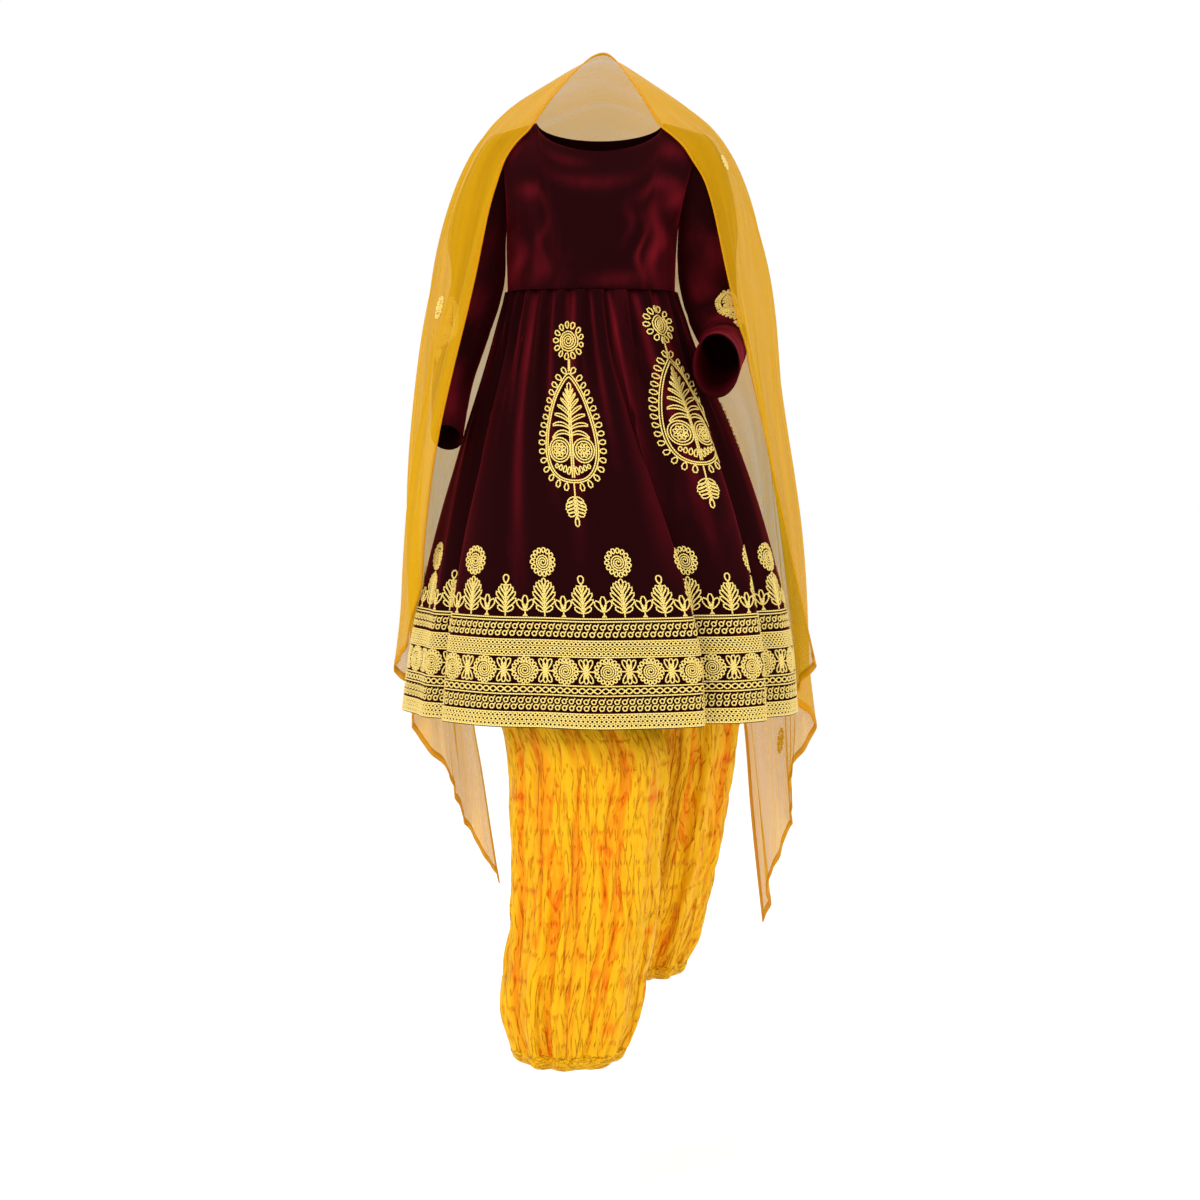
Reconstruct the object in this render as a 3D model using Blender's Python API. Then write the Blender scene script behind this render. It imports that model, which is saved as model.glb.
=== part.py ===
"""An Afghan three-piece dress, as it hangs when it is worn: a velvet frock with a gathered skirt,
wide trousers gathered at the ankles, and a sheer veil laid over the neck and shoulders.

Metres, +Z up. The wearer faces -Y, so the wearer's right arm is at -X. The origin is midway between
the shoulder seams, at the height of the neck. Run with: blender --background --python part.py
"""

import bpy
import bmesh
import numpy as np
from mathutils import Vector
from mathutils.bvhtree import BVHTree

# Wall thicknesses and the gap that neighbouring pieces keep at a seam
VELVET = 0.0014
SATIN = 0.0014
CHIFFON = 0.0010
SEAM_GAP = 0.0004
CORD_WORK = 0.0010      # how far the corded border stands out of the skirt's wall
OPEN = 10**6            # a wall that never closes into a tube
AT_END = 1e-4           # how near a place from 0 to 1 counts as its end

# Heights that cut the garment into its pieces
WAIST_Z = -0.245        # the seam between bodice and skirt
HEM_Z = -0.868          # the skirt's lower edge
BORDER_TOP_Z = -0.690   # the upper edge of the corded border
NECK_POINT_Z = 0.004    # where the shoulder seam meets the neckline
SHOULDER_TIP_Z = -0.012
ARMPIT_Z = -0.150

LEAN = -0.013           # how far the waist stands to the wearer's right of the neck
LEAN_DEPTH = 0.200      # the drop over which the lean grows

# Bodice, half widths across X
NECK_HALF = 0.093
SHOULDER_HALF = 0.150
ARMPIT_HALF = 0.127
FRONT_NECK_DROP = 0.048
BACK_NECK_DROP = 0.020
ARMHOLE_HALF_DEPTH = 0.058
SHOULDER_BEND = 0.62    # the rise from which the panels bend over toward the shoulder seam
ARMHOLE_CENTRE_Z = (SHOULDER_TIP_Z + ARMPIT_Z) / 2
ARMHOLE_HALF_HEIGHT = (SHOULDER_TIP_Z - ARMPIT_Z) / 2

# The bodice's front and back: rise is 0 at the waist and 1 at the neckline
BODICE_ROWS = [
    # rise, front_depth, back_depth
    (0.00, 0.104, 0.092),
    (0.25, 0.114, 0.094),
    (0.50, 0.117, 0.098),
    (0.75, 0.100, 0.092),
    (1.00, 0.066, 0.062),
]

# The skirt's outline, without its folds: drop is 0 at the waist and 1 at the hem
SKIRT_ROWS = [
    # drop, centre_x, half_width, front_depth, back_depth
    (0.00, 0.000, 0.1245, 0.104, 0.092),
    (0.13, 0.004, 0.1525, 0.127, 0.116),
    (0.33, 0.012, 0.2000, 0.166, 0.154),
    (0.60, 0.018, 0.2520, 0.206, 0.196),
    (0.85, 0.019, 0.2850, 0.236, 0.226),
    (1.00, 0.017, 0.2950, 0.248, 0.240),
]

# The skirt's deep folds: turns are degrees round the skirt, 0 at the centre front, + to the wearer's left.
# under is how far the cloth runs back beneath the fold's edge at the hem, and step is the way in
# from one layer to the next. over is +1 where the layer before the fold lies on top, -1 where the next does.
SKIRT_FOLDS = [
    # waist_turn, hem_turn, under, step, over
    (-140.0, -147.0, 0.040, 0.014, -1),
    (-110.0, -112.0, 0.032, 0.014, 1),
    (-60.0, -47.0, 0.040, 0.014, -1),
    (13.0, 23.0, 0.046, 0.014, 1),
    (58.0, 51.0, 0.026, 0.014, 1),
    (102.0, 103.0, 0.032, 0.014, -1),
    (152.0, 159.0, 0.034, 0.014, 1),
]
FOLD_HALF = 0.0072      # half the stretch that a fold's turn takes, in turns round the skirt
FOLD_FADE = 7.5         # in fold halves, where the under layer is back at the outline
FOLD_COLUMNS = [-2.4, -1.7, -1.25, -0.93, -0.65, 0.65, 0.93, 1.25, 1.7, 2.4]    # in fold halves
COLUMN_SPACING = 0.0026 # the least distance between columns, in turns
SKIRT_DROPS = [0.0, 0.05, 0.13, 0.24, 0.33, 0.43, 0.60]     # rows above the border
BORDER_STEP = 0.006     # half the drop over which the border's edge rises
HALF_SEAM_TURN = 0.00012    # half the gap at a side seam, in turns
PLEATS = 30             # small pleats sewn in at the waist seam
PLEAT_DEPTH = 0.0042
HEM_WAVES = [
    # waves round the hem, depth, shift in turns
    (7, 0.0045, 0.10),
    (13, 0.0030, 0.37),
]

# Sleeves, from the armpit's level down to the cuff; side_half and deep_half are the tube's half sizes
SLEEVE_ROWS_RIGHT = [
    # x, y, z, side_half, deep_half
    (-0.1710, 0.000, -0.168, 0.0435, 0.055),
    (-0.1690, 0.008, -0.225, 0.0400, 0.050),
    (-0.1860, 0.008, -0.295, 0.0365, 0.046),
    (-0.2055, -0.010, -0.370, 0.0310, 0.041),
    (-0.2105, -0.044, -0.430, 0.0255, 0.038),
    (-0.2125, -0.062, -0.460, 0.0235, 0.037),
]
SLEEVE_ROWS_LEFT = [
    (0.1720, 0.000, -0.168, 0.0445, 0.055),
    (0.1730, 0.012, -0.218, 0.0435, 0.050),
    (0.1810, 0.014, -0.268, 0.0400, 0.047),
    (0.1960, -0.012, -0.314, 0.0360, 0.039),
    (0.1890, -0.085, -0.341, 0.0335, 0.040),
    (0.1790, -0.156, -0.357, 0.0340, 0.047),
]
SLEEVE_SPANS = 20        # facets round a sleeve, which the armhole's edge shares
SLEEVE_CAP_RINGS = 4

# Trousers: ring centres and half sizes from the crotch down
CROTCH_Z = -0.660
TROUSER_TOP_Z = -0.288
BAND_TOP_Z = -0.250
TROUSER_ROWS_RIGHT = [
    # x, y, z, half_width, half_depth
    (-0.1080, -0.012, -0.660, 0.1040, 0.114),
    (-0.0880, -0.062, -0.780, 0.1030, 0.102),
    (-0.0190, -0.100, -0.920, 0.1140, 0.096),
    (-0.0210, -0.103, -1.030, 0.1090, 0.100),
    (-0.0240, -0.102, -1.140, 0.1040, 0.100),
    (-0.0360, -0.100, -1.240, 0.1000, 0.098),
    (-0.0440, -0.100, -1.310, 0.0950, 0.092),
    (-0.0470, -0.100, -1.358, 0.0790, 0.078),
]
TROUSER_ROWS_LEFT = [
    (0.1140, 0.012, -0.660, 0.1060, 0.114),
    (0.1180, 0.058, -0.780, 0.1000, 0.098),
    (0.1120, 0.110, -0.920, 0.0980, 0.098),
    (0.0970, 0.138, -1.075, 0.0940, 0.098),
    (0.0790, 0.158, -1.185, 0.0880, 0.092),
    (0.0700, 0.170, -1.250, 0.0820, 0.084),
    (0.0650, 0.176, -1.290, 0.0680, 0.070),
]
HIP_ROWS = [
    # z, half_width, half_depth, for the stretch above the crotch
    (-0.288, 0.122, 0.088),
    (-0.420, 0.146, 0.110),
    (-0.560, 0.180, 0.126),
    (-0.660, 0.208, 0.118),
]
BAND_GAP = 0.0005        # between the waistband and the innermost pleats
BAND_THICKNESS = 0.003
ANKLE_HALF = 0.044      # the gathered ankle edge's half size
TUCK_DROP = 0.024       # how far the balloon hangs below its last ring before it turns in
TUCK_RISE = 0.020       # how far the turned-in edge comes back up
LEG_WAVES = 9
LEG_WAVE_DEPTH = 0.0050
ANKLE_GATHERS = 9

# The veil, one table a side. Sections run along its length from the middle of the neck to the end.
# front is the edge that frames the neck, side the part over the arm, rear the edge that hangs behind.
VEIL_RIGHT = [
    # front_x, front_y, front_z, side_x, side_y, side_z, rear_x, rear_y, rear_z
    (0.006, -0.014, 0.110, 0.006, 0.060, 0.082, 0.000, 0.176, -0.600),
    (-0.050, -0.034, 0.064, -0.100, 0.046, 0.034, -0.068, 0.178, -0.610),
    (-0.099, -0.042, -0.004, -0.188, 0.030, -0.026, -0.132, 0.186, -0.650),
    (-0.150, -0.074, -0.088, -0.248, 0.036, -0.190, -0.184, 0.200, -0.730),
    (-0.191, -0.094, -0.238, -0.276, 0.036, -0.400, -0.206, 0.226, -0.870),
    (-0.2570, -0.114, -0.490, -0.292, 0.066, -0.620, -0.190, 0.256, -1.030),
    (-0.299, 0.012, -0.778, -0.292, 0.130, -0.880, -0.169, 0.266, -1.184),
]
VEIL_LEFT = [
    (0.006, -0.014, 0.110, 0.006, 0.060, 0.082, 0.000, 0.176, -0.600),
    (0.050, -0.030, 0.060, 0.100, 0.044, 0.036, 0.072, 0.178, -0.610),
    (0.097, -0.044, -0.018, 0.192, 0.030, -0.026, 0.140, 0.186, -0.650),
    (0.149, -0.074, -0.086, 0.248, 0.036, -0.180, 0.196, 0.202, -0.740),
    (0.181, -0.086, -0.240, 0.268, 0.040, -0.400, 0.226, 0.230, -0.900),
    (0.238, -0.062, -0.490, 0.302, 0.070, -0.630, 0.246, 0.260, -1.080),
    (0.308, 0.008, -0.792, 0.320, 0.130, -0.920, 0.266, 0.272, -1.257),
]
VEIL_SIDE_AT = 0.36     # where across the veil the side column lies
VEIL_FOLDS = 3.0        # soft folds across each fall's width
VEIL_FOLD_DEPTH = 0.022
BACK_FOLDS = 4.0        # folds of the part behind, a side
BACK_FOLD_DEPTH = 0.024
VEIL_SPLIT = 0.36       # where along the half length the falls are parted from the crown
VEIL_CLEARANCE = 0.0044
VEIL_REACH = 0.080      # a piece further off than this doesn't push the veil
VEIL_SUNK = 0.030       # the most that a point of the veil starts inside a piece
SUNK_TURN = -0.8        # how straight inward a point must lie to count as inside
VEIL_ALONG = 40         # facets along the veil, an even number
VEIL_ACROSS = 16

COLOURS = {
    "velvet": ((0.020, 0.002, 0.004, 1.0), 0.75),
    "satin": ((0.85, 0.36, 0.010, 1.0), 0.40),
    "chiffon": ((0.85, 0.40, 0.015, 1.0), 0.60),
}


def smooth_step(x):
    x = np.clip(x, 0.0, 1.0)
    return x * x * (3.0 - 2.0 * x)


def through_rows(knots, values, at):
    """A smooth curve through the rows of a table, read at the given places."""
    knots = np.asarray(knots, float)
    values = np.asarray(values, float)
    at = np.clip(np.asarray(at, float), knots[0], knots[-1])
    slopes = np.gradient(values, knots, axis=0)
    i = np.clip(np.searchsorted(knots, at, side="right") - 1, 0, len(knots) - 2)
    span = knots[i + 1] - knots[i]
    t = ((at - knots[i]) / span)[..., None]
    span = span[..., None]
    return (
        values[i] * (2 * t**3 - 3 * t**2 + 1)
        + slopes[i] * span * (t**3 - 2 * t**2 + t)
        + values[i + 1] * (3 * t**2 - 2 * t**3)
        + slopes[i + 1] * span * (t**3 - t**2)
    )


def columns(rows, *picked):
    return np.array([[row[k] for k in picked] for row in rows])


def leaned(points):
    """The frock's points moved across by the body's lean, which grows from the shoulders to the waist."""
    shift = LEAN * smooth_step(-points[..., 2] / LEAN_DEPTH)
    return points + np.stack([shift, 0.0 * shift, 0.0 * shift], axis=-1)


def armhole(turn):
    """The armhole's edge on the wearer's left; turn is 0 at the shoulder and half a circle at the armpit."""
    lift = (1.0 + np.cos(turn)) / 2.0
    x = ARMPIT_HALF + (SHOULDER_HALF - ARMPIT_HALF) * lift**1.5
    y = ARMHOLE_HALF_DEPTH * np.sin(turn)
    z = ARMHOLE_CENTRE_Z + ARMHOLE_HALF_HEIGHT * np.cos(turn)
    return x, y, z


def bodice_panel(across, rise, facing):
    """A point of the front (facing -1) or back (facing +1); across runs from -1 to 1, rise from 0 to 1."""
    across, rise = np.broadcast_arrays(np.asarray(across, float), np.asarray(rise, float))
    edge_z = WAIST_Z + (SHOULDER_TIP_Z - WAIST_Z) * rise
    lift = np.clip((edge_z - ARMHOLE_CENTRE_Z) / ARMHOLE_HALF_HEIGHT, -1.0, 1.0)
    hole_x, hole_y, _ = armhole(np.arccos(lift))
    below = smooth_step((ARMPIT_Z - edge_z) / (ARMPIT_Z - WAIST_Z))
    half = hole_x + (SKIRT_ROWS[0][2] - ARMPIT_HALF) * below
    edge_y = facing * np.abs(hole_y)

    neck_share = NECK_HALF / SHOULDER_HALF
    drop = FRONT_NECK_DROP if facing < 0 else BACK_NECK_DROP
    c = np.abs(across)
    scoop = np.sqrt(np.clip(1.0 - (c / neck_share) ** 2, 0.0, 1.0))
    slope = np.clip((c - neck_share) / (1.0 - neck_share), 0.0, 1.0)
    top_z = NECK_POINT_Z - drop * scoop + (SHOULDER_TIP_Z - NECK_POINT_Z) * slope
    z = WAIST_Z + (top_z - WAIST_Z) * rise

    depth = through_rows(
        columns(BODICE_ROWS, 0)[:, 0], columns(BODICE_ROWS, 1, 2), rise
    )[..., 0 if facing < 0 else 1]
    round_body = (1.0 - c**2.4) ** (1.0 / 2.4)
    body_y = facing * depth * round_body + edge_y * (1.0 - round_body)
    top_y = facing * depth * scoop
    near_top = 1.0 - np.sqrt(1.0 - np.clip((rise - SHOULDER_BEND) / (1.0 - SHOULDER_BEND), 0.0, 1.0) ** 2)
    y = body_y + (top_y - body_y) * near_top
    return leaned(np.stack([across * half, y, z], axis=-1))


def skirt_point(turn, drop):
    """A point of the skirt; turn is the place round it from -0.5 to 0.5, 0 at the centre front."""
    turn, drop = np.broadcast_arrays(np.asarray(turn, float), np.asarray(drop, float))
    outline = through_rows(
        columns(SKIRT_ROWS, 0)[:, 0], columns(SKIRT_ROWS, 1, 2, 3, 4), drop
    )
    centre_x, half_width, front, back = np.moveaxis(outline, -1, 0)

    hem_turns = np.array([fold[1] for fold in SKIRT_FOLDS]) / 360.0
    waist_turns = np.array([fold[0] for fold in SKIRT_FOLDS]) / 360.0
    ring = np.concatenate([hem_turns - 1.0, hem_turns, hem_turns + 1.0])
    ring_top = np.concatenate([waist_turns - 1.0, waist_turns, waist_turns + 1.0])
    open_out = smooth_step(drop)
    angle = 2.0 * np.pi * (turn * open_out + np.interp(turn, ring, ring_top) * (1.0 - open_out))

    deep = np.where(np.cos(angle) > 0, front, back)
    speed = np.hypot(half_width * np.cos(angle), deep * np.sin(angle))
    along = np.zeros_like(angle)
    inward = np.zeros_like(angle)
    growth = smooth_step((drop - 0.12) / 0.78)
    for (_, hem_turn, under, step, over) in SKIRT_FOLDS:
        q = (turn - hem_turn / 360.0 + 0.5) % 1.0 - 0.5
        q = q / FOLD_HALF
        along -= under * growth * q * np.exp((1.0 - q**2) / 2.0)
        q = q * over
        layers = smooth_step((q + 0.93) / 1.5 + 0.5) + smooth_step((q - 0.93) / 1.5 + 0.5)
        layers *= 1.0 - smooth_step((q - 2.0) / (FOLD_FADE - 2.0))
        inward += step * smooth_step(drop / 0.20) * (0.6 + 0.4 * growth) * layers
    angle = angle + along / speed

    pleat = 2.0 * np.pi * PLEATS * turn
    gather = PLEAT_DEPTH * (1.0 - smooth_step(drop / 0.55)) * np.sin(pleat - 0.7 * np.sin(pleat))
    wave = np.zeros_like(angle)
    for (count, depth, shift) in HEM_WAVES:
        wave += depth * growth * np.sin(2.0 * np.pi * (count * turn + shift))
    deep = np.where(np.cos(angle) > 0, front, back)
    x = half_width * np.sin(angle)
    y = -deep * np.cos(angle)
    out_x = np.sin(angle) / half_width
    out_y = -np.cos(angle) / deep
    size = np.hypot(out_x, out_y)
    move = gather + wave - inward
    z = WAIST_Z - SEAM_GAP + (HEM_Z - WAIST_Z + SEAM_GAP) * drop
    return leaned(np.stack([centre_x + x + move * out_x / size, y + move * out_y / size, z], axis=-1))


def tube_frames(rows, at):
    """Centres, half sizes and cross directions of a tube whose rows are x, y, z and two half sizes."""
    path = np.array(rows, float)
    knots = np.concatenate([[0.0], np.cumsum(np.linalg.norm(np.diff(path[:, :3], axis=0), axis=1))])
    place = np.asarray(at, float) * knots[-1]
    read = through_rows(knots, path, place)
    ahead = through_rows(knots, path, np.minimum(place + 0.004, knots[-1]))
    behind = through_rows(knots, path, np.maximum(place - 0.004, 0.0))
    way = ahead[..., :3] - behind[..., :3]
    return read, way / np.linalg.norm(way, axis=-1, keepdims=True)


def sleeve_point(turn, along, side):
    """A point of a sleeve; side is -1 for the wearer's right. along is below 0 on the cap, 0 to 1 down the arm."""
    turn, along = np.broadcast_arrays(np.asarray(turn, float), np.asarray(along, float))
    rows = SLEEVE_ROWS_RIGHT if side < 0 else SLEEVE_ROWS_LEFT
    read, way = tube_frames(rows, np.clip(along, 0.0, 1.0))
    start_way = np.array([0.0, 0.0, -1.0])
    settle = smooth_step(along / 0.25)[..., None]
    way = start_way * (1.0 - settle) + way * settle
    way = way / np.linalg.norm(way, axis=-1, keepdims=True)
    outward = np.array([float(side), 0.0, 0.0])
    across = outward - way * np.sum(way * outward, axis=-1, keepdims=True)
    across = across / np.linalg.norm(across, axis=-1, keepdims=True)
    deep = np.cross(way, across) * side
    arm = (
        read[..., :3]
        + across * (read[..., 3] * np.cos(turn))[..., None]
        - deep * (read[..., 4] * np.sin(turn))[..., None]
    )

    hole_x, hole_y, hole_z = armhole(turn)
    edge = np.stack([side * (hole_x + SEAM_GAP), hole_y, hole_z], axis=-1)
    t = np.clip(1.0 + along, 0.0, 1.0)[..., None]
    first = arm
    span = np.linalg.norm(first - edge, axis=-1, keepdims=True)
    lift = ((1.0 + np.cos(turn)) / 2.0)[..., None]
    leave = span * 0.5 * lift * outward + (1.0 - lift) * (first - edge)
    land = span * 0.8 * start_way
    cap = (
        edge * (2 * t**3 - 3 * t**2 + 1)
        + leave * (t**3 - 2 * t**2 + t)
        + first * (3 * t**2 - 2 * t**3)
        + land * (t**3 - t**2)
    )
    return leaned(np.where((along < 0.0)[..., None], cap, arm))


def leg_point(turn, down, side):
    """A point of a trouser leg; turn is 0 at the centre front or inseam, 0.5 at the outer side. down is
    0 at the waist, 1 at the crotch, 2 at the last ring and 3 at the gathered ankle edge, tucked inside."""
    turn, down = np.broadcast_arrays(np.asarray(turn, float), np.asarray(down, float))
    rows = TROUSER_ROWS_RIGHT if side < 0 else TROUSER_ROWS_LEFT
    angle = 2.0 * np.pi * turn
    read, _ = tube_frames(rows, np.clip(down - 1.0, 0.0, 1.0))
    centre_x, centre_y, ring_z, half_width, half_depth = np.moveaxis(read, -1, 0)
    round_off = 1.0 / (np.abs(np.cos(angle)) ** 2.2 + np.abs(np.sin(angle)) ** 2.2) ** (1.0 / 2.2)

    tuck = np.clip(down - 2.0, 0.0, 1.0)
    curl = np.pi * tuck
    ankle = (1.0 - np.cos(curl)) / 2.0
    half_width = half_width + (ANKLE_HALF - half_width) * ankle
    half_depth = half_depth + (ANKLE_HALF - half_depth) * ankle
    ring_z = ring_z - TUCK_DROP * np.sin(curl) + TUCK_RISE * smooth_step((tuck - 0.5) * 2.0)

    wave = LEG_WAVE_DEPTH * smooth_step(down - 0.6) * np.sin(LEG_WAVES * angle + 2.2 * np.sin(3.0 * angle))
    gather = 0.0045 * smooth_step((down - 1.7) / 0.3) * np.sin(ANKLE_GATHERS * angle)
    swell = (wave * (1.0 - ankle) + gather * (1.0 - 0.55 * ankle)) / np.maximum(half_width, 0.03)
    leg = np.stack([
        centre_x - side * half_width * np.cos(angle) * round_off * (1.0 + swell),
        centre_y - half_depth * np.sin(angle) * round_off * (1.0 + swell),
        ring_z,
    ], axis=-1)

    hip_z = TROUSER_TOP_Z + (CROTCH_Z - TROUSER_TOP_Z) * np.clip(down, 0.0, 1.0)
    hips = through_rows(-columns(HIP_ROWS, 0)[:, 0], columns(HIP_ROWS, 1, 2), -hip_z)
    half_turn = np.pi * (turn - 0.5)
    hip = np.stack([
        LEAN + side * (SEAM_GAP / 2.0 + hips[..., 0] * np.cos(half_turn)),
        hips[..., 1] * np.sin(half_turn),
        hip_z,
    ], axis=-1)
    join = smooth_step(np.clip(down, 0.0, 1.0) ** 1.6)[..., None]
    upper = hip * (1.0 - join) + leg * join
    return np.where((down < 1.0)[..., None], upper, leg)


def veil_point(along, across):
    """A point of the veil; along runs from -1, the wearer's right end, to 1. across is 0 at the front edge."""
    along, across = np.broadcast_arrays(np.asarray(along, float), np.asarray(across, float))
    knots = np.linspace(0.0, 1.0, len(VEIL_RIGHT))
    place = np.abs(along)
    right = through_rows(knots, np.array(VEIL_RIGHT), place)
    left = through_rows(knots, np.array(VEIL_LEFT), place)
    section = np.where((along < 0.0)[..., None], right, left)
    stations = np.stack([section[..., 0:3], section[..., 3:6], section[..., 6:9]])
    before = across < VEIL_SIDE_AT
    t = np.where(before, across / VEIL_SIDE_AT, (across - VEIL_SIDE_AT) / (1.0 - VEIL_SIDE_AT))[..., None]
    start = np.where(before[..., None], stations[0], stations[1])
    end = np.where(before[..., None], stations[1], stations[2])
    share = np.where(before, VEIL_SIDE_AT, 1.0 - VEIL_SIDE_AT)[..., None]
    front_slope = (stations[1] - stations[0]) / VEIL_SIDE_AT
    rear_slope = (stations[2] - stations[1]) / (1.0 - VEIL_SIDE_AT)
    mid_slope = front_slope * (1.0 - VEIL_SIDE_AT) + rear_slope * VEIL_SIDE_AT
    start_slope = np.where(before[..., None], front_slope, mid_slope)
    end_slope = np.where(before[..., None], mid_slope, rear_slope)
    base = (
        start * (2 * t**3 - 3 * t**2 + 1)
        + start_slope * share * (t**3 - 2 * t**2 + t)
        + end * (3 * t**2 - 2 * t**3)
        + end_slope * share * (t**3 - t**2)
    )
    grow = smooth_step((place - 0.38) / 0.5)
    phase = 2.0 * np.pi * (VEIL_FOLDS * across + 0.18 * np.sign(along) * place)
    sway = VEIL_FOLD_DEPTH * grow * np.sin(phase)
    behind = smooth_step((across - 0.30) / 0.70) * (1.0 - grow)
    sway += BACK_FOLD_DEPTH * behind * (1.0 + np.cos(2.0 * np.pi * BACK_FOLDS * place)) / 2.0
    out = np.stack([np.sign(along) * (1.0 - 0.7 * across), 0.2 + across, 0.0 * across], axis=-1)
    out = out / np.linalg.norm(out, axis=-1, keepdims=True)
    return base + out * sway[..., None]


def face_directions(surface, u, v, sign):
    """Unit normals of a surface function at its grid, from small steps both ways."""
    tiny = 2.0e-4
    du = surface(u + tiny, v) - surface(u - tiny, v)
    dv = surface(u, v + tiny) - surface(u, v - tiny)
    normal = np.cross(du, dv) * sign
    size = np.linalg.norm(normal, axis=-1, keepdims=True)
    return normal / np.maximum(size, 1e-12)


def halfway(points, axis, closed=False):
    """Unit directions along one axis of a grid, halfway between the steps before and after each point."""
    step = np.diff(points, axis=axis)
    step = step / np.maximum(np.linalg.norm(step, axis=-1, keepdims=True), 1e-12)
    first = np.take(step, [0], axis=axis)
    last = np.take(step, [-1], axis=axis)
    before = np.concatenate([last if closed else first, step], axis=axis)
    after = np.concatenate([step, first if closed else last], axis=axis)
    way = before + after
    return way / np.maximum(np.linalg.norm(way, axis=-1, keepdims=True), 1e-12)


def wall_directions(points, sign, closed_from):
    """Unit normals at a grid's points that share the turn between the facets on either side, so that the
    inner skin doesn't cross itself where the cloth folds back."""
    across = halfway(points, 1)
    across[closed_from:] = halfway(points[closed_from:], 1, closed=True)
    normal = np.cross(across, halfway(points, 0)) * sign
    return normal / np.maximum(np.linalg.norm(normal, axis=-1, keepdims=True), 1e-12)


def wall(name, outer, inner, closed_from, material):
    """A cloth wall lofted between an outer and an inner grid of points, rows by columns. From the row
    closed_from on, the last column is the first one again, so the wall is a tube there."""
    rows, cols = outer.shape[:2]
    mesh = bmesh.new()
    skins = []
    for skin in (outer, inner):
        grid = []
        for r in range(rows):
            ring = [mesh.verts.new(Vector(point)) for point in skin[r][:-1]]
            ring.append(ring[0] if r >= closed_from else mesh.verts.new(Vector(skin[r][-1])))
            grid.append(ring)
        skins.append(grid)
    for c in range(cols - 1):
        for r in range(rows - 1):
            for number, skin in enumerate(skins):
                ring = [skin[r][c], skin[r][c + 1], skin[r + 1][c + 1], skin[r + 1][c]]
                mesh.faces.new(ring if number == 0 else ring[::-1])
        for r in (0, rows - 1):
            ring = [skins[0][r][c], skins[1][r][c], skins[1][r][c + 1], skins[0][r][c + 1]]
            mesh.faces.new(ring if r == 0 else ring[::-1])
    for r in range(min(closed_from, rows - 1)):
        for c in (0, cols - 1):
            ring = [skins[0][r][c], skins[0][r + 1][c], skins[1][r + 1][c], skins[1][r][c]]
            mesh.faces.new(ring if c == 0 else ring[::-1])
    bmesh.ops.triangulate(mesh, faces=mesh.faces[:])
    bmesh.ops.recalc_face_normals(mesh, faces=mesh.faces[:])
    if mesh.calc_volume(signed=True) < 0:
        bmesh.ops.reverse_faces(mesh, faces=mesh.faces[:])
    data = bpy.data.meshes.new(name)
    mesh.to_mesh(data)
    mesh.free()
    data.shade_smooth()
    data.materials.append(material)
    piece = bpy.data.objects.new(name, data)
    bpy.context.scene.collection.children["afghan_dress"].objects.link(piece)
    return piece


def clear_scene():
    for old in list(bpy.data.objects):
        bpy.data.objects.remove(old, do_unlink=True)
    for old in list(bpy.data.collections):
        bpy.data.collections.remove(old)
    home = bpy.data.collections.new("afghan_dress")
    bpy.context.scene.collection.children.link(home)


def cloth_material(name):
    colour, roughness = COLOURS[name]
    material = bpy.data.materials.new(name)
    material.use_nodes = True
    shader = material.node_tree.nodes["Principled BSDF"]
    shader.inputs["Base Color"].default_value = colour
    shader.inputs["Roughness"].default_value = roughness
    shader.inputs["Metallic"].default_value = 0.0
    return material


def build_bodice(velvet):
    """Front and back panels, each one piece from the waist seam to the neckline and shoulder seams."""
    hole_turns = np.linspace(np.pi, 0.0, SLEEVE_SPANS // 2 + 1)
    hole_z = ARMHOLE_CENTRE_Z + ARMHOLE_HALF_HEIGHT * np.cos(hole_turns)
    side_z = np.linspace(WAIST_Z, ARMPIT_Z, 4)[:-1]
    rise = (np.concatenate([side_z, hole_z]) - WAIST_Z) / (SHOULDER_TIP_Z - WAIST_Z)
    quarter = np.linspace(0.0, np.pi, 19)
    for name, facing in (("bodice_front", -1), ("bodice_back", 1)):
        across = -np.cos(quarter)
        grid_c, grid_r = np.meshgrid(across, rise)

        def panel(c, r, facing=facing):
            return bodice_panel(np.clip(c, -1.0, 1.0), np.clip(r, 0.0, 1.0), facing)

        outer = panel(grid_c, grid_r)
        normal = face_directions(panel, np.clip(grid_c, -0.996, 0.996), np.clip(grid_r, 0.004, 0.992), -facing)
        seam = grid_r < (ARMPIT_Z - WAIST_Z) / (SHOULDER_TIP_Z - WAIST_Z)
        edge = (np.abs(grid_c) > 1.0 - AT_END)
        outer[..., 1] += np.where(edge, facing * SEAM_GAP / 2.0, 0.0)
        normal[..., 1] = np.where(edge & seam, 0.0, normal[..., 1])
        top = grid_r > 1.0 - AT_END
        outer[..., 1] += np.where(top & ~edge, facing * SEAM_GAP / 2.0, 0.0)
        normal[..., 1] = np.where(top & (np.abs(grid_c) > NECK_HALF / SHOULDER_HALF), 0.0, normal[..., 1])
        normal /= np.linalg.norm(normal, axis=-1, keepdims=True)
        wall(name, outer, outer - normal * VELVET, OPEN, velvet)


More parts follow.
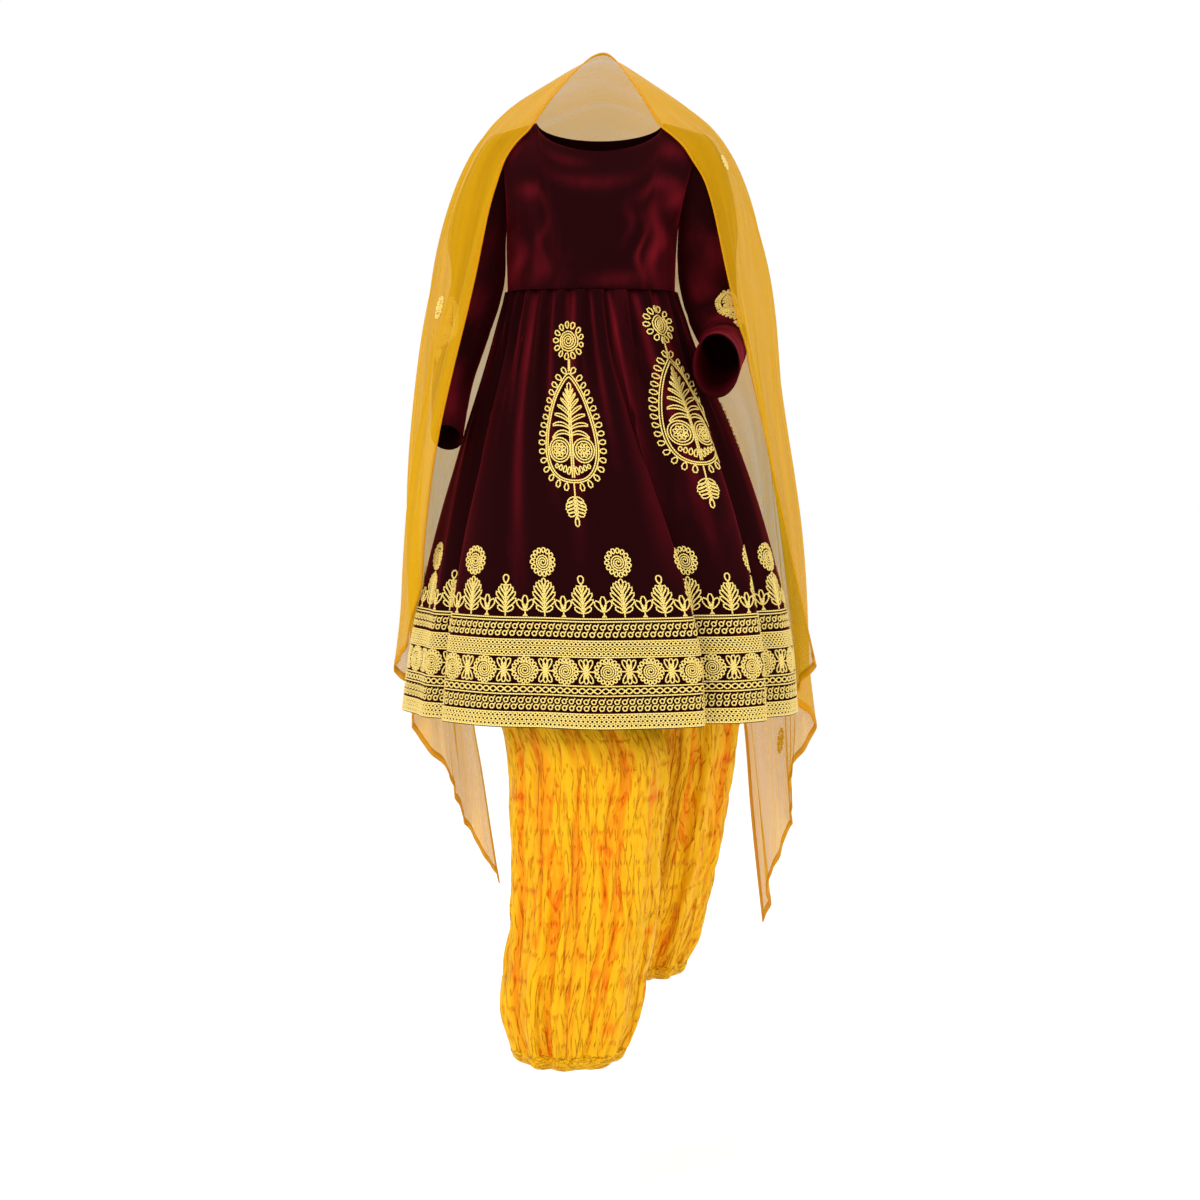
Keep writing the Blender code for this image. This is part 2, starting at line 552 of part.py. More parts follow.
def build_skirt(velvet):
    """Front and back panels, pleated into the waist seam, with the corded border raised on the outside."""
    plain = np.arange(-0.25, 0.25, 0.25 / PLEATS)
    border = (BORDER_TOP_Z - WAIST_Z) / (HEM_Z - WAIST_Z)
    drops = np.array(SKIRT_DROPS + [border - BORDER_STEP, border + BORDER_STEP, 1.0])
    for name, centre in (("skirt_front", 0.0), ("skirt_back", 0.5)):
        creases = []
        for fold in SKIRT_FOLDS:
            for q in FOLD_COLUMNS:
                spot = (fold[1] / 360.0 - centre + 0.5) % 1.0 - 0.5 + q * FOLD_HALF
                if abs(spot) < 0.25 - 2.0 * COLUMN_SPACING:
                    creases.append(centre + spot)
        spots = [s for s in centre + plain if min(abs(s - c) for c in creases) > COLUMN_SPACING]
        spots = np.array(sorted(spots + creases + [centre + 0.25]))
        spots[0] += HALF_SEAM_TURN
        spots[-1] -= HALF_SEAM_TURN
        grid_t, grid_d = np.meshgrid((spots + 0.5) % 1.0 - 0.5, drops)
        outer = skirt_point(grid_t, grid_d)
        normal = wall_directions(outer, -1, len(drops))
        raised = np.where(grid_d > border, CORD_WORK, 0.0)[..., None]
        wall(name, outer + normal * raised, outer - normal * VELVET, OPEN, velvet)


def build_sleeves(velvet):
    turns = np.linspace(0.0, 2.0 * np.pi, SLEEVE_SPANS + 1)
    cap = -np.linspace(1.0, 0.0, SLEEVE_CAP_RINGS + 1)[:-1]
    along = np.concatenate([cap, np.array([0.0, 0.14, 0.28, 0.42, 0.54, 0.66, 0.82, 1.0])])
    for name, side in (("sleeve_right", -1), ("sleeve_left", 1)):
        grid_t, grid_a = np.meshgrid(turns, along)

        def tube(t, a, side=side):
            return sleeve_point(t, a, side)

        outer = tube(grid_t, grid_a)
        calm = np.where(np.abs(grid_a) < 0.002, 0.002, grid_a)
        normal = face_directions(tube, grid_t, np.clip(calm, -0.99, 0.99), -side)
        wall(name, outer, outer - normal * VELVET, 0, velvet)


def build_trousers(satin):
    turns = np.linspace(0.0, 1.0, 37)
    down = np.array([0.0, 0.35, 0.7, 0.88, 1.0, 1.2, 1.45, 1.7, 1.88, 2.0, 2.25, 2.5, 2.75, 3.0])
    closed_from = int(np.argmax(down >= 1.0))
    for name, side in (("trouser_right_leg", -1), ("trouser_left_leg", 1)):
        grid_t, grid_d = np.meshgrid(turns, down)
        outer = leg_point(grid_t, grid_d, side)
        normal = wall_directions(outer, -side, closed_from)
        seam = (grid_d < 1.0 - AT_END) & ((grid_t < AT_END) | (grid_t > 1.0 - AT_END))
        normal[..., 0] = np.where(seam, 0.0, normal[..., 0])
        normal /= np.linalg.norm(normal, axis=-1, keepdims=True)
        wall(name, outer, outer - normal * SATIN, closed_from, satin)


def build_band(satin):
    """The trousers' waistband, a plain ring that the skirt's first pleats rest against."""
    turns = np.linspace(-0.5, 0.5, 49)
    heights = np.array([BAND_TOP_Z, (BAND_TOP_Z + TROUSER_TOP_Z) / 2.0, TROUSER_TOP_Z + SEAM_GAP])
    drop = (BAND_TOP_Z - WAIST_Z) / (HEM_Z - WAIST_Z)
    centre_x, half_width, front, back = through_rows(
        columns(SKIRT_ROWS, 0)[:, 0], columns(SKIRT_ROWS, 1, 2, 3, 4), drop
    )
    inset = PLEAT_DEPTH + VELVET + BAND_GAP
    angle, height = np.meshgrid(2.0 * np.pi * turns, heights)
    deep = np.where(np.cos(angle) > 0, front, back) - inset
    outer = np.stack([LEAN + centre_x + (half_width - inset) * np.sin(angle), -deep * np.cos(angle), height], axis=-1)
    shrink = np.stack([np.sin(angle), -np.cos(angle), 0.0 * angle], axis=-1) * BAND_THICKNESS
    wall("trouser_waistband", outer, outer - shrink, 0, satin)


def push_clear(points, trees, clearance):
    """Move points out until they clear the pieces they lie over by the given distance."""
    flat = points.reshape(-1, 3)
    for k, point in enumerate(flat):
        spot = Vector(point)
        for _ in range(6):
            worst, away = clearance, None
            for tree in trees:
                near, normal, _, distance = tree.find_nearest(spot, VEIL_REACH)
                if near is None:
                    continue
                offset = spot - near
                inside = distance < VEIL_SUNK and offset.dot(normal) < SUNK_TURN * distance
                signed = -distance if inside else distance
                if signed < worst - 1e-5:
                    worst = signed
                    away = normal if inside or distance < 1e-6 else offset / distance
            if away is None:
                break
            spot = spot + away * (clearance - worst)
        flat[k] = spot
    return flat.reshape(points.shape)


def build_veil(chiffon):
    """One rectangle of chiffon over the neck, parted where it leaves the shoulders for its two falls."""
    trees = []
    for name in ("bodice_front", "bodice_back", "sleeve_right", "sleeve_left", "skirt_front", "skirt_back"):
        data = bpy.data.objects[name].data
        outside = len(data.vertices) // 2
        trees.append(BVHTree.FromPolygons(
            [v.co for v in data.vertices],
            [face.vertices[:] for face in data.polygons if max(face.vertices) < outside],
        ))
    along = np.linspace(-1.0, 1.0, VEIL_ALONG + 1)
    across = np.linspace(0.0, 1.0, VEIL_ACROSS + 1)
    grid_l, grid_w = np.meshgrid(along, across, indexing="ij")
    cloth = veil_point(grid_l, grid_w)
    for _ in range(3):
        cloth = push_clear(cloth, trees, VEIL_CLEARANCE)
        calm = cloth.copy()
        calm[1:-1, 1:-1] = (
            cloth[1:-1, 1:-1] * 0.5
            + (cloth[:-2, 1:-1] + cloth[2:, 1:-1] + cloth[1:-1, :-2] + cloth[1:-1, 2:]) * 0.125
        )
        cloth = calm
    for _ in range(4):
        cloth = push_clear(cloth, trees, VEIL_CLEARANCE)
        middle = (cloth[:-1, :-1] + cloth[1:, :-1] + cloth[:-1, 1:] + cloth[1:, 1:]) / 4.0
        shift = push_clear(middle.copy(), trees, VEIL_CLEARANCE * 0.7) - middle
        for r in (0, 1):
            for c in (0, 1):
                cloth[r:r + shift.shape[0], c:c + shift.shape[1]] += shift * 0.6
    down = np.gradient(cloth, axis=0)
    over = np.gradient(cloth, axis=1)
    normal = np.cross(down, over)
    normal /= np.linalg.norm(normal, axis=-1, keepdims=True)
    first = int(round((1.0 - VEIL_SPLIT) / 2.0 * VEIL_ALONG))
    last = VEIL_ALONG - first
    parts = (("veil_right_fall", 0, first), ("veil_crown", first, last), ("veil_left_fall", last, VEIL_ALONG))
    for name, start, end in parts:
        outer = cloth[start:end + 1].copy()
        if start > 0:
            step = outer[1] - outer[0]
            outer[0] += step / np.linalg.norm(step, axis=-1, keepdims=True) * SEAM_GAP / 2.0
        if end < VEIL_ALONG:
            step = outer[-2] - outer[-1]
            outer[-1] += step / np.linalg.norm(step, axis=-1, keepdims=True) * SEAM_GAP / 2.0
        half = normal[start:end + 1] * CHIFFON / 2.0
        wall(name, outer + half, outer - half, OPEN, chiffon)


def main():
    clear_scene()
    velvet = cloth_material("velvet")
    satin = cloth_material("satin")
    chiffon = cloth_material("chiffon")
    build_bodice(velvet)
    build_skirt(velvet)
    build_sleeves(velvet)
    build_trousers(satin)
    build_band(satin)
    build_veil(chiffon)


main()
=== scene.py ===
# %% [markdown]
# # An Afghan three-piece dress
# The set is a velvet frock with a gathered skirt and gold cord work, wide trousers of crushed satin
# and a sheer chiffon veil laid over the neck. The box of those solids is kept, so the finished
# cloth can be measured against it.

# %% Load the frame
import bpy
import numpy as np
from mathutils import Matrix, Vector
from mathutils.bvhtree import BVHTree


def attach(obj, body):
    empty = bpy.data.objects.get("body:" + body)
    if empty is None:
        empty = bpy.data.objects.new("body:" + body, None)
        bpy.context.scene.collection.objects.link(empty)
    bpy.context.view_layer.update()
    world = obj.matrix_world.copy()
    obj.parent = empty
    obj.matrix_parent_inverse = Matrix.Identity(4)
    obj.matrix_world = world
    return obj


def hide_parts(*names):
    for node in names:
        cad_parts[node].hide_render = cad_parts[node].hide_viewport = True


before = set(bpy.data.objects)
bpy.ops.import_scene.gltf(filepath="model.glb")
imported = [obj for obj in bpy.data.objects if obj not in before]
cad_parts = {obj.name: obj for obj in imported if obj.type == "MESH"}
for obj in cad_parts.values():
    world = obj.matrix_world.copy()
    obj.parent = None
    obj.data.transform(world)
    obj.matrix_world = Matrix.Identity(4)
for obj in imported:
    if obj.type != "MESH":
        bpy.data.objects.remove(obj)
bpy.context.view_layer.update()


# %% [markdown]
# ## Camera, floor and light
# The dress was photographed from chest height, square on, with a fairly long lens. One camera
# aimed a little below its own height gives the same shortening of the trousers. The floor is a
# plain pale plane. Three large soft lamps stand round the dress, and a pale sky fills the shadows.

# %% Camera
CAMERA_PLACE = Vector((0.0, -3.65, -0.42))
CAMERA_AIM = Vector((0.0, 0.0, -0.705))
HALF_VIEW = 0.90                # metres seen to each side at the dress
FLOOR_Z = -1.60

look = CAMERA_AIM - CAMERA_PLACE
bpy.ops.object.select_all(action="DESELECT")
bpy.ops.object.camera_add(location=CAMERA_PLACE, rotation=look.to_track_quat("-Z", "Y").to_euler())
camera = bpy.context.object
camera.data.sensor_width = 36.0
camera.data.angle = 2.0 * float(np.arctan(HALF_VIEW / -CAMERA_PLACE.y))
bpy.context.scene.camera = camera


# %% Floor and light
def plain_material(name, colour, roughness):
    material = bpy.data.materials.new(name)
    material.use_nodes = True
    shader = material.node_tree.nodes["Principled BSDF"]
    shader.inputs["Base Color"].default_value = (*colour, 1.0)
    shader.inputs["Roughness"].default_value = roughness
    return material


bpy.ops.mesh.primitive_plane_add(size=60.0, location=(0.0, 0.0, FLOOR_Z))
bpy.ops.object.transform_apply(location=True, rotation=True, scale=True)
floor = bpy.context.object
floor.name = "studio_floor"
floor.data.materials.append(plain_material("pale_floor", (0.99, 0.99, 0.99), 1.0))

SOFT_LAMPS = [
    # name, place, width, power
    ("key_lamp", (-2.4, -3.0, 1.7), 1.6, 62.0),
    ("fill_lamp", (2.8, -2.6, 0.4), 2.4, 24.0),
    ("back_lamp", (0.6, 3.0, 1.8), 2.0, 30.0),
]
for name, place, width, power in SOFT_LAMPS:
    aim = Vector((0.0, 0.0, -0.65)) - Vector(place)
    bpy.ops.object.light_add(type="AREA", location=place, rotation=aim.to_track_quat("-Z", "Y").to_euler())
    lamp = bpy.context.object
    lamp.name = name
    lamp.data.size = width
    lamp.data.energy = power

sky = bpy.data.worlds.new("pale_sky")
sky.use_nodes = True
sky.node_tree.nodes["Background"].inputs["Color"].default_value = (1.0, 1.0, 1.0, 1.0)
sky.node_tree.nodes["Background"].inputs["Strength"].default_value = 1.01
bpy.context.scene.world = sky
bpy.context.scene.view_settings.view_transform = "Standard"
print("lamps", len(SOFT_LAMPS))


# %% [markdown]
# ## The finishes
# Four finishes are wanted: pile velvet, couched metal cord, crushed satin and sheer chiffon. What
# repeats over a surface, such as the lie of the nap or the twist of a cord, is a node group with
# its own inputs. It gives out a colour, a mask or a height only. The shader stays in each material,
# and each group reads the piece's own UV map, which is laid out in metres along the cloth.

# %% Helpers for the node groups
def new_group(name, inputs, outputs):
    """An empty node group with the named sockets, and its two end nodes."""
    group = bpy.data.node_groups.new(name, "ShaderNodeTree")
    for way, sockets in (("INPUT", inputs), ("OUTPUT", outputs)):
        for label, kind in sockets.items():
            group.interface.new_socket(label, in_out=way, socket_type="NodeSocket" + kind)
    return group, group.nodes.new("NodeGroupInput"), group.nodes.new("NodeGroupOutput")


def add_node(tree, kind, inputs=(), **settings):
    """A node with its settings made and each input linked, or given a plain value."""
    node = tree.nodes.new(kind)
    for key, value in settings.items():
        setattr(node, key, value)
    for key, value in dict(inputs).items():
        if isinstance(value, bpy.types.NodeSocket):
            tree.links.new(value, node.inputs[key])
        else:
            node.inputs[key].default_value = value
    return node


def noise(tree, vector, scale, detail, distortion=0.0, output="Fac", offset=None, **settings):
    """A noise texture that may be stretched more one way than the other."""
    spot = add_node(tree, "ShaderNodeMapping", {"Vector": vector, "Scale": scale}).outputs["Vector"]
    inputs = {"Vector": spot, "Scale": 1.0, "Detail": detail, "Distortion": distortion}
    if offset is not None:
        inputs["Offset"] = offset
    return add_node(tree, "ShaderNodeTexNoise", inputs, **settings).outputs[output]


def ranged(tree, value, low, high, **settings):
    """0 at the low value, 1 at the high one."""
    inputs = {"Value": value, "From Min": low, "From Max": high}
    return add_node(tree, "ShaderNodeMapRange", inputs, **settings).outputs[0]


def mixed(tree, share, first, second):
    node = add_node(tree, "ShaderNodeMix", {0: share}, data_type="RGBA", clamp_factor=True)
    for socket, value in ((node.inputs[6], first), (node.inputs[7], second)):
        if isinstance(value, bpy.types.NodeSocket):
            tree.links.new(value, socket)
        else:
            socket.default_value = value
    return node.outputs[2]


def sums(tree, operation, first, second=0.0, third=0.0):
    return add_node(tree, "ShaderNodeMath", {0: first, 1: second, 2: third}, operation=operation).outputs[0]


# %% Helpers for the materials
def start_material(name, group, values):
    """A material with one node group in it, fed with the cloth's UV map and with its own values."""
    material = bpy.data.materials.new(name)
    material.use_nodes = True
    tree = material.node_tree
    pattern = add_node(tree, "ShaderNodeGroup", values, node_tree=group)
    tree.links.new(add_node(tree, "ShaderNodeUVMap", uv_map="cloth").outputs["UV"], pattern.inputs[0])
    return material, tree, tree.nodes["Principled BSDF"], pattern


def read_painted_light(tree, socket):
    """Link the point attribute that a velvet or satin piece carries, which places painted sheen on velvet and
    painted shade on satin.
    """
    tree.links.new(add_node(tree, "ShaderNodeAttribute", attribute_name="relief").outputs["Fac"], socket)


def end_material(tree, shader, height, strength, distance, values):
    """Bump from the pattern's height, and the shader's plain values."""
    bump = add_node(tree, "ShaderNodeBump", {"Strength": strength, "Distance": distance, "Height": height})
    tree.links.new(bump.outputs["Normal"], shader.inputs["Normal"])
    for label, value in values.items():
        shader.inputs[label].default_value = value


# %% [markdown]
# ### Velvet
# Velvet is a dense upright pile. It looks nearly black from the front, and red where light catches
# the pile or where it is seen edge on. That red is painted sheen: the group mixes the pile colour with a
# sheen colour by three things: soft random patches, the places of painted sheen that each piece
# carries in its "relief" attribute, and the grain of the fibres. The material adds more painted sheen
# where the cloth is seen edge on.

# %% The velvet's nap and its painted sheen
def velvet_nap_and_sheen_group():
    group, given, out = new_group(
        "velvet_nap_and_sheen",
        {"Cloth": "Vector", "Pile": "Color", "Painted Sheen": "Color", "Sheen Patches": "Float", "Sheen Places": "Float"},
        {"Color": "Color", "Height": "Float"},
    )
    cloth = given.outputs["Cloth"]
    broad = noise(group, cloth, (9.0, 4.0, 1.0), 3.0, 0.9)
    streak = noise(group, cloth, (46.0, 12.0, 1.0), 2.0)
    fibre = noise(group, cloth, (1500.0, 1500.0, 1.0), 1.0)
    # Random soft patches and streaks where painted sheen is mixed in.
    patch = ranged(group, broad, 0.52, 0.74, interpolation_type="SMOOTHSTEP")
    streaky = ranged(group, streak, 0.45, 0.75)
    sheen_share = sums(group, "MULTIPLY", patch, sums(group, "MULTIPLY_ADD", streaky, 0.6, 0.4))
    sheen_share = sums(group, "MULTIPLY", sheen_share, given.outputs["Sheen Patches"])
    # laid is the piece's map of painted sheen, read from its relief attribute.
    laid = sums(group, "MULTIPLY", given.outputs["Sheen Places"], sums(group, "MULTIPLY_ADD", streak, 1.1, 0.35))
    sheen_share = sums(group, "ADD", sheen_share, laid)
    sheen_and_grain = sums(group, "MULTIPLY_ADD", fibre, 0.10, sums(group, "SUBTRACT", sheen_share, 0.05))
    # Painted sheen: the dark pile colour is mixed toward the sheen colour.
    colour = mixed(group, sheen_and_grain, given.outputs["Pile"], given.outputs["Painted Sheen"])
    group.links.new(colour, out.inputs["Color"])
    group.links.new(sums(group, "ADD", fibre, sheen_share), out.inputs["Height"])
    return group


VELVET_NAP_AND_SHEEN = velvet_nap_and_sheen_group()
# How the painted sheen at the rim grows as the cloth turns edge on.
RIM_BLEND = 0.28
RIM_POWER = 2.2
RIM_SHARE = 0.62


def velvet_material(name, pile, painted_sheen, sheen_patches):
    values = {"Pile": (*pile, 1.0), "Painted Sheen": (*painted_sheen, 1.0), "Sheen Patches": sheen_patches}
    material, tree, shader, nap_and_sheen = start_material(name, VELVET_NAP_AND_SHEEN, values)
    # The relief attribute holds where painted sheen lies on this piece.
    read_painted_light(tree, nap_and_sheen.inputs["Sheen Places"])
    # Painted sheen where the cloth is seen edge on.
    edge = add_node(tree, "ShaderNodeLayerWeight", {"Blend": RIM_BLEND})
    rim = sums(tree, "MULTIPLY", sums(tree, "POWER", edge.outputs["Facing"], RIM_POWER), RIM_SHARE)
    tree.links.new(mixed(tree, rim, nap_and_sheen.outputs["Color"], (*painted_sheen, 1.0)), shader.inputs["Base Color"])
    end_material(tree, shader, nap_and_sheen.outputs["Height"], 0.18, 0.0006, {
        "Roughness": 0.90, "Specular IOR Level": 0.03, "Sheen Weight": 0.45, "Sheen Roughness": 0.34,
        "Sheen Tint": (0.42, 0.010, 0.024, 1.0),
    })
    return material


# The pile colour, the painted sheen colour and the share of random sheen patches.
MAROON = velvet_material("maroon_velvet", (0.0125, 0.0009, 0.0014), (0.150, 0.0050, 0.0110), 0.22)


# %% [markdown]
# ### Gold cord and dark piping
# A cord's threads are twisted, so a groove runs round it at a slant. The UV map of a cord counts
# metres along it and parts of a turn round it, and one sine of both draws the slanted grooves. The
# same sine paints shade into the grooves and light onto the threads' crowns.

# %% The cord's twist and its painted shade
def cord_twist_group():
    group, given, out = new_group(
        "cord_twist",
        {"Along": "Vector", "Thread": "Color", "Groove Shade": "Color", "Turns": "Float"},
        {"Color": "Color", "Height": "Float"},
    )
    parts = add_node(group, "ShaderNodeSeparateXYZ", {"Vector": given.outputs["Along"]})
    lengthwise = sums(group, "MULTIPLY", parts.outputs["X"], given.outputs["Turns"])
    turned = sums(group, "FRACT", sums(group, "ADD", lengthwise, parts.outputs["Y"]))
    ridge = sums(group, "SINE", sums(group, "MULTIPLY", turned, float(np.pi)))
    # Noise along the cord makes the painted light on the crowns uneven.
    unevenness = noise(group, given.outputs["Along"], (70.0, 3.0, 1.0), 2.0)
    light = sums(group, "MULTIPLY", ridge, sums(group, "MULTIPLY_ADD", unevenness, 0.5, 0.85))
    # Painted shade in the grooves and painted light on the crowns, from the twist's sine.
    colour = mixed(group, light, given.outputs["Groove Shade"], given.outputs["Thread"])
    group.links.new(colour, out.inputs["Color"])
    group.links.new(ridge, out.inputs["Height"])
    return group


CORD_TWIST = cord_twist_group()


def cord_material(name, thread, groove_shade, metallic, roughness, turns):
    """turns counts the twist's turns in a metre."""
    values = {"Thread": (*thread, 1.0), "Groove Shade": (*groove_shade, 1.0), "Turns": turns}
    material, tree, shader, twist = start_material(name, CORD_TWIST, values)
    tree.links.new(twist.outputs["Color"], shader.inputs["Base Color"])
    end_material(tree, shader, twist.outputs["Height"], 0.5, 0.0005,
                 {"Metallic": metallic, "Roughness": roughness})
    return material


# The thread colour, then the groove's painted shade colour.
GOLD_CORD = cord_material("gold_cord", (1.00, 0.760, 0.200), (0.54, 0.330, 0.055), 0.03, 0.42, 260.0)
DARK_PIPING = cord_material("dark_piping", (0.020, 0.022, 0.012), (0.006, 0.008, 0.004), 0.0, 0.7, 300.0)


# %% [markdown]
# ### Crushed satin
# The trousers' satin is crushed and set, so it keeps sharp creases. The large ones are modelled in
# the mesh later, and each point carries its height in the "relief" attribute. The small ones are two
# ridged noises, bent a little, which raise its bump and darken the cloth with painted shade. Sunk
# places get painted shade too, which turns them orange, and small specks get a painted glint.

# %% The crushed satin
def crush_group():
    group, given, out = new_group(
        "crushed_cloth",
        {"Cloth": "Vector", "Relief": "Float", "Face": "Color", "Shade": "Color", "Gleam": "Color"},
        {"Color": "Color", "Height": "Float"},
    )
    cloth = given.outputs["Cloth"]
    warp = noise(group, cloth, (16.0, 9.0, 1.0), 1.0, output="Color")
    bent = add_node(group, "ShaderNodeVectorMath", {0: warp, 1: (0.030, 0.0, 0.0), 2: cloth},
                    operation="MULTIPLY_ADD").outputs[0]
    creases = [
        noise(group, bent, scale, 2.0, offset=1.0, noise_type="RIDGED_MULTIFRACTAL")
        for scale in ((46.0, 12.0, 1.0), (112.0, 36.0, 1.0))
    ]
    wide, narrow = [ranged(group, crease, 1.18, 1.62) for crease in creases]
    small = noise(group, cloth, (330.0, 110.0, 1.0), 2.0, 0.5)
    threads = add_node(group, "ShaderNodeMapping", {"Vector": cloth, "Scale": (900.0, 900.0, 1.0)})
    weave = add_node(group, "ShaderNodeTexWave",
                     {"Vector": threads.outputs["Vector"], "Scale": 1.0, "Distortion": 0.3},
                     bands_direction="DIAGONAL")
    # Painted shade: narrow creases and sunk places are mixed toward the shade colour.
    lines = sums(group, "MULTIPLY_ADD", narrow, 0.55, sums(group, "MULTIPLY", wide, 0.75))
    depth = ranged(group, given.outputs["Relief"], 0.40, 0.14)
    deep = sums(group, "MULTIPLY_ADD", depth, 0.55, sums(group, "MULTIPLY", lines, 0.85))
    base = mixed(group, deep, given.outputs["Face"], given.outputs["Shade"])
    # Painted glints: small specks are mixed toward the gleam colour.
    spark = sums(group, "MULTIPLY", ranged(group, small, 0.60, 0.84), 0.6)
    height = sums(group, "MULTIPLY_ADD", small, 0.35, sums(group, "SUBTRACT", 1.0, lines))
    height = sums(group, "MULTIPLY_ADD", weave.outputs["Fac"], 0.02, height)
    group.links.new(mixed(group, spark, base, given.outputs["Gleam"]), out.inputs["Color"])
    group.links.new(height, out.inputs["Height"])
    return group


CRUSH = crush_group()


def satin_material(name, face, shade, gleam):
    values = {"Face": (*face, 1.0), "Shade": (*shade, 1.0), "Gleam": (*gleam, 1.0)}
    material, tree, shader, crush = start_material(name, CRUSH, values)
    read_painted_light(tree, crush.inputs["Relief"])
    tree.links.new(crush.outputs["Color"], shader.inputs["Base Color"])
    end_material(tree, shader, crush.outputs["Height"], 1.0, 0.0034,
                 {"Roughness": 0.44, "Specular IOR Level": 0.12})
    return material


SATIN = satin_material("crushed_satin", (0.835, 0.425, 0.002), (0.86, 0.185, 0.001), (0.96, 0.62, 0.020))


# %% [markdown]
# ### Sheer chiffon
# Chiffon is so thin that light comes through it, and it is fuller in colour where it lies in folds.
# Alpha gives how much of the view it covers, less near the front edge than behind it, with streaks
# along the fall. A faint glow stands for the light that comes through from behind.

# %% The sheer chiffon
FRONT_ENDS = 0.22               # metres of cloth behind the front edge
BEHIND_STARTS = 0.40


def sheer_group():
    group, given, out = new_group(
        "sheer_cloth",
        {"Cloth": "Vector", "Yarn": "Color", "Folded": "Color", "Behind": "Float", "Front": "Float"},
        {"Color": "Color", "Cover": "Float", "Height": "Float"},
    )
    cloth = given.outputs["Cloth"]
    parts = add_node(group, "ShaderNodeSeparateXYZ", {"Vector": cloth})
    streak = noise(group, cloth, (1.6, 26.0, 1.0), 2.0, 0.6)
    fine = noise(group, cloth, (900.0, 900.0, 1.0), 0.0)
    near = ranged(group, parts.outputs["Y"], BEHIND_STARTS, FRONT_ENDS, interpolation_type="SMOOTHSTEP")
    cover = add_node(group, "ShaderNodeMapRange",
                     {"Value": near, "To Min": given.outputs["Behind"], "To Max": given.outputs["Front"]})
    shown = sums(group, "MULTIPLY", cover.outputs[0], sums(group, "MULTIPLY_ADD", streak, 0.5, 0.72))
    shown = sums(group, "MULTIPLY_ADD", fine, 0.03, shown)
    colour = mixed(group, ranged(group, streak, 0.35, 0.65), given.outputs["Folded"], given.outputs["Yarn"])
    group.links.new(colour, out.inputs["Color"])
    group.links.new(shown, out.inputs["Cover"])
    group.links.new(fine, out.inputs["Height"])
    return group


SHEER = sheer_group()


def chiffon_material(name, yarn, folded, behind, front, glow):
    """behind and front say how much of the view one layer covers there, from 0 to 1."""
    values = {"Yarn": (*yarn, 1.0), "Folded": (*folded, 1.0), "Behind": behind, "Front": front}
    material, tree, shader, sheer = start_material(name, SHEER, values)
    tree.links.new(sheer.outputs["Color"], shader.inputs["Base Color"])
    tree.links.new(sheer.outputs["Cover"], shader.inputs["Alpha"])
    end_material(tree, shader, sheer.outputs["Height"], 0.08, 0.0003, {
        "Emission Color": (0.62, 0.48, 0.004, 1.0), "Emission Strength": glow,
        "Roughness": 0.62, "Specular IOR Level": 0.06,
    })
    return material


CHIFFON = chiffon_material("sheer_chiffon", (0.60, 0.275, 0.002), (0.52, 0.215, 0.001), 0.57, 0.49, 0.32)
ROLLED_HEM = chiffon_material("rolled_hem", (0.66, 0.250, 0.001), (0.60, 0.200, 0.001), 0.70, 0.80, 0.16)
print("finishes", len(bpy.data.materials))


# %% [markdown]
# ## Cloth as a grid
# Each cloth starts as a flat grid with as many threads each way as its folds need, like cloth on
# the table. Every crossing is then carried to its place on a surface worked out from the garment's
# sizes, and Solidify gives the cloth its thickness on the inner side. A tube's two long edges are
# merged, so its seam is closed. The UV map holds the flat cloth in metres. A cloth simulation would
# drape it too, but could not be held to the folds that the photograph shows.

# %% Lay a cloth on its surface
def lay_cloth(name, points, flat, material, tube=False, inside_out=False, thickness=0.0012, relief=None):
    """A sheet through a grid of points; flat gives their UV map, relief a value from 0 to 1 at each, which
    places painted sheen on velvet and painted shade on satin.
    """
    rows, cols = points.shape[:2]
    bpy.ops.object.select_all(action="DESELECT")
    bpy.ops.mesh.primitive_grid_add(x_subdivisions=cols - 1, y_subdivisions=rows - 1, size=1.0)
    piece = bpy.context.object
    piece.name = name
    piece.data.name = name
    piece.data.vertices.foreach_set("co", points.reshape(-1))
    chart = piece.data.uv_layers[0]
    chart.name = "cloth"
    if relief is not None:
        piece.data.attributes.new("relief", "FLOAT", "POINT").data.foreach_set("value", relief.reshape(-1))
    corner = np.zeros(len(piece.data.loops), np.int64)
    piece.data.loops.foreach_get("vertex_index", corner)
    chart.data.foreach_set("uv", flat.reshape(-1, 2)[corner].reshape(-1))
    bpy.ops.object.mode_set(mode="EDIT")
    bpy.ops.mesh.select_all(action="SELECT")
    if tube:
        bpy.ops.mesh.remove_doubles(threshold=1.0e-5)
    if inside_out:
        bpy.ops.mesh.flip_normals()
    bpy.ops.object.mode_set(mode="OBJECT")
    bpy.ops.object.shade_smooth()
    piece.data.materials.append(material)
    if thickness:
        give_thickness(piece, thickness)
    return piece


def give_thickness(piece, thickness):
    bpy.ops.object.select_all(action="DESELECT")
    bpy.context.view_layer.objects.active = piece
    piece.select_set(True)
    shell = piece.modifiers.new("cloth_wall", "SOLIDIFY")
    shell.thickness = thickness
    shell.offset = -1.0
    bpy.ops.object.modifier_apply(modifier=shell.name)


# %% Smooth curves and normals
def smooth_step(x):
    x = np.clip(x, 0.0, 1.0)
    return x * x * (3.0 - 2.0 * x)


def cubic(start, start_way, end, end_way, t):
    """From one value to another as t runs from 0 to 1, leaving and arriving with the given slopes."""
    return (
        start * (2 * t**3 - 3 * t**2 + 1)
        + start_way * (t**3 - 2 * t**2 + t)
        + end * (3 * t**2 - 2 * t**3)
        + end_way * (t**3 - t**2)
    )


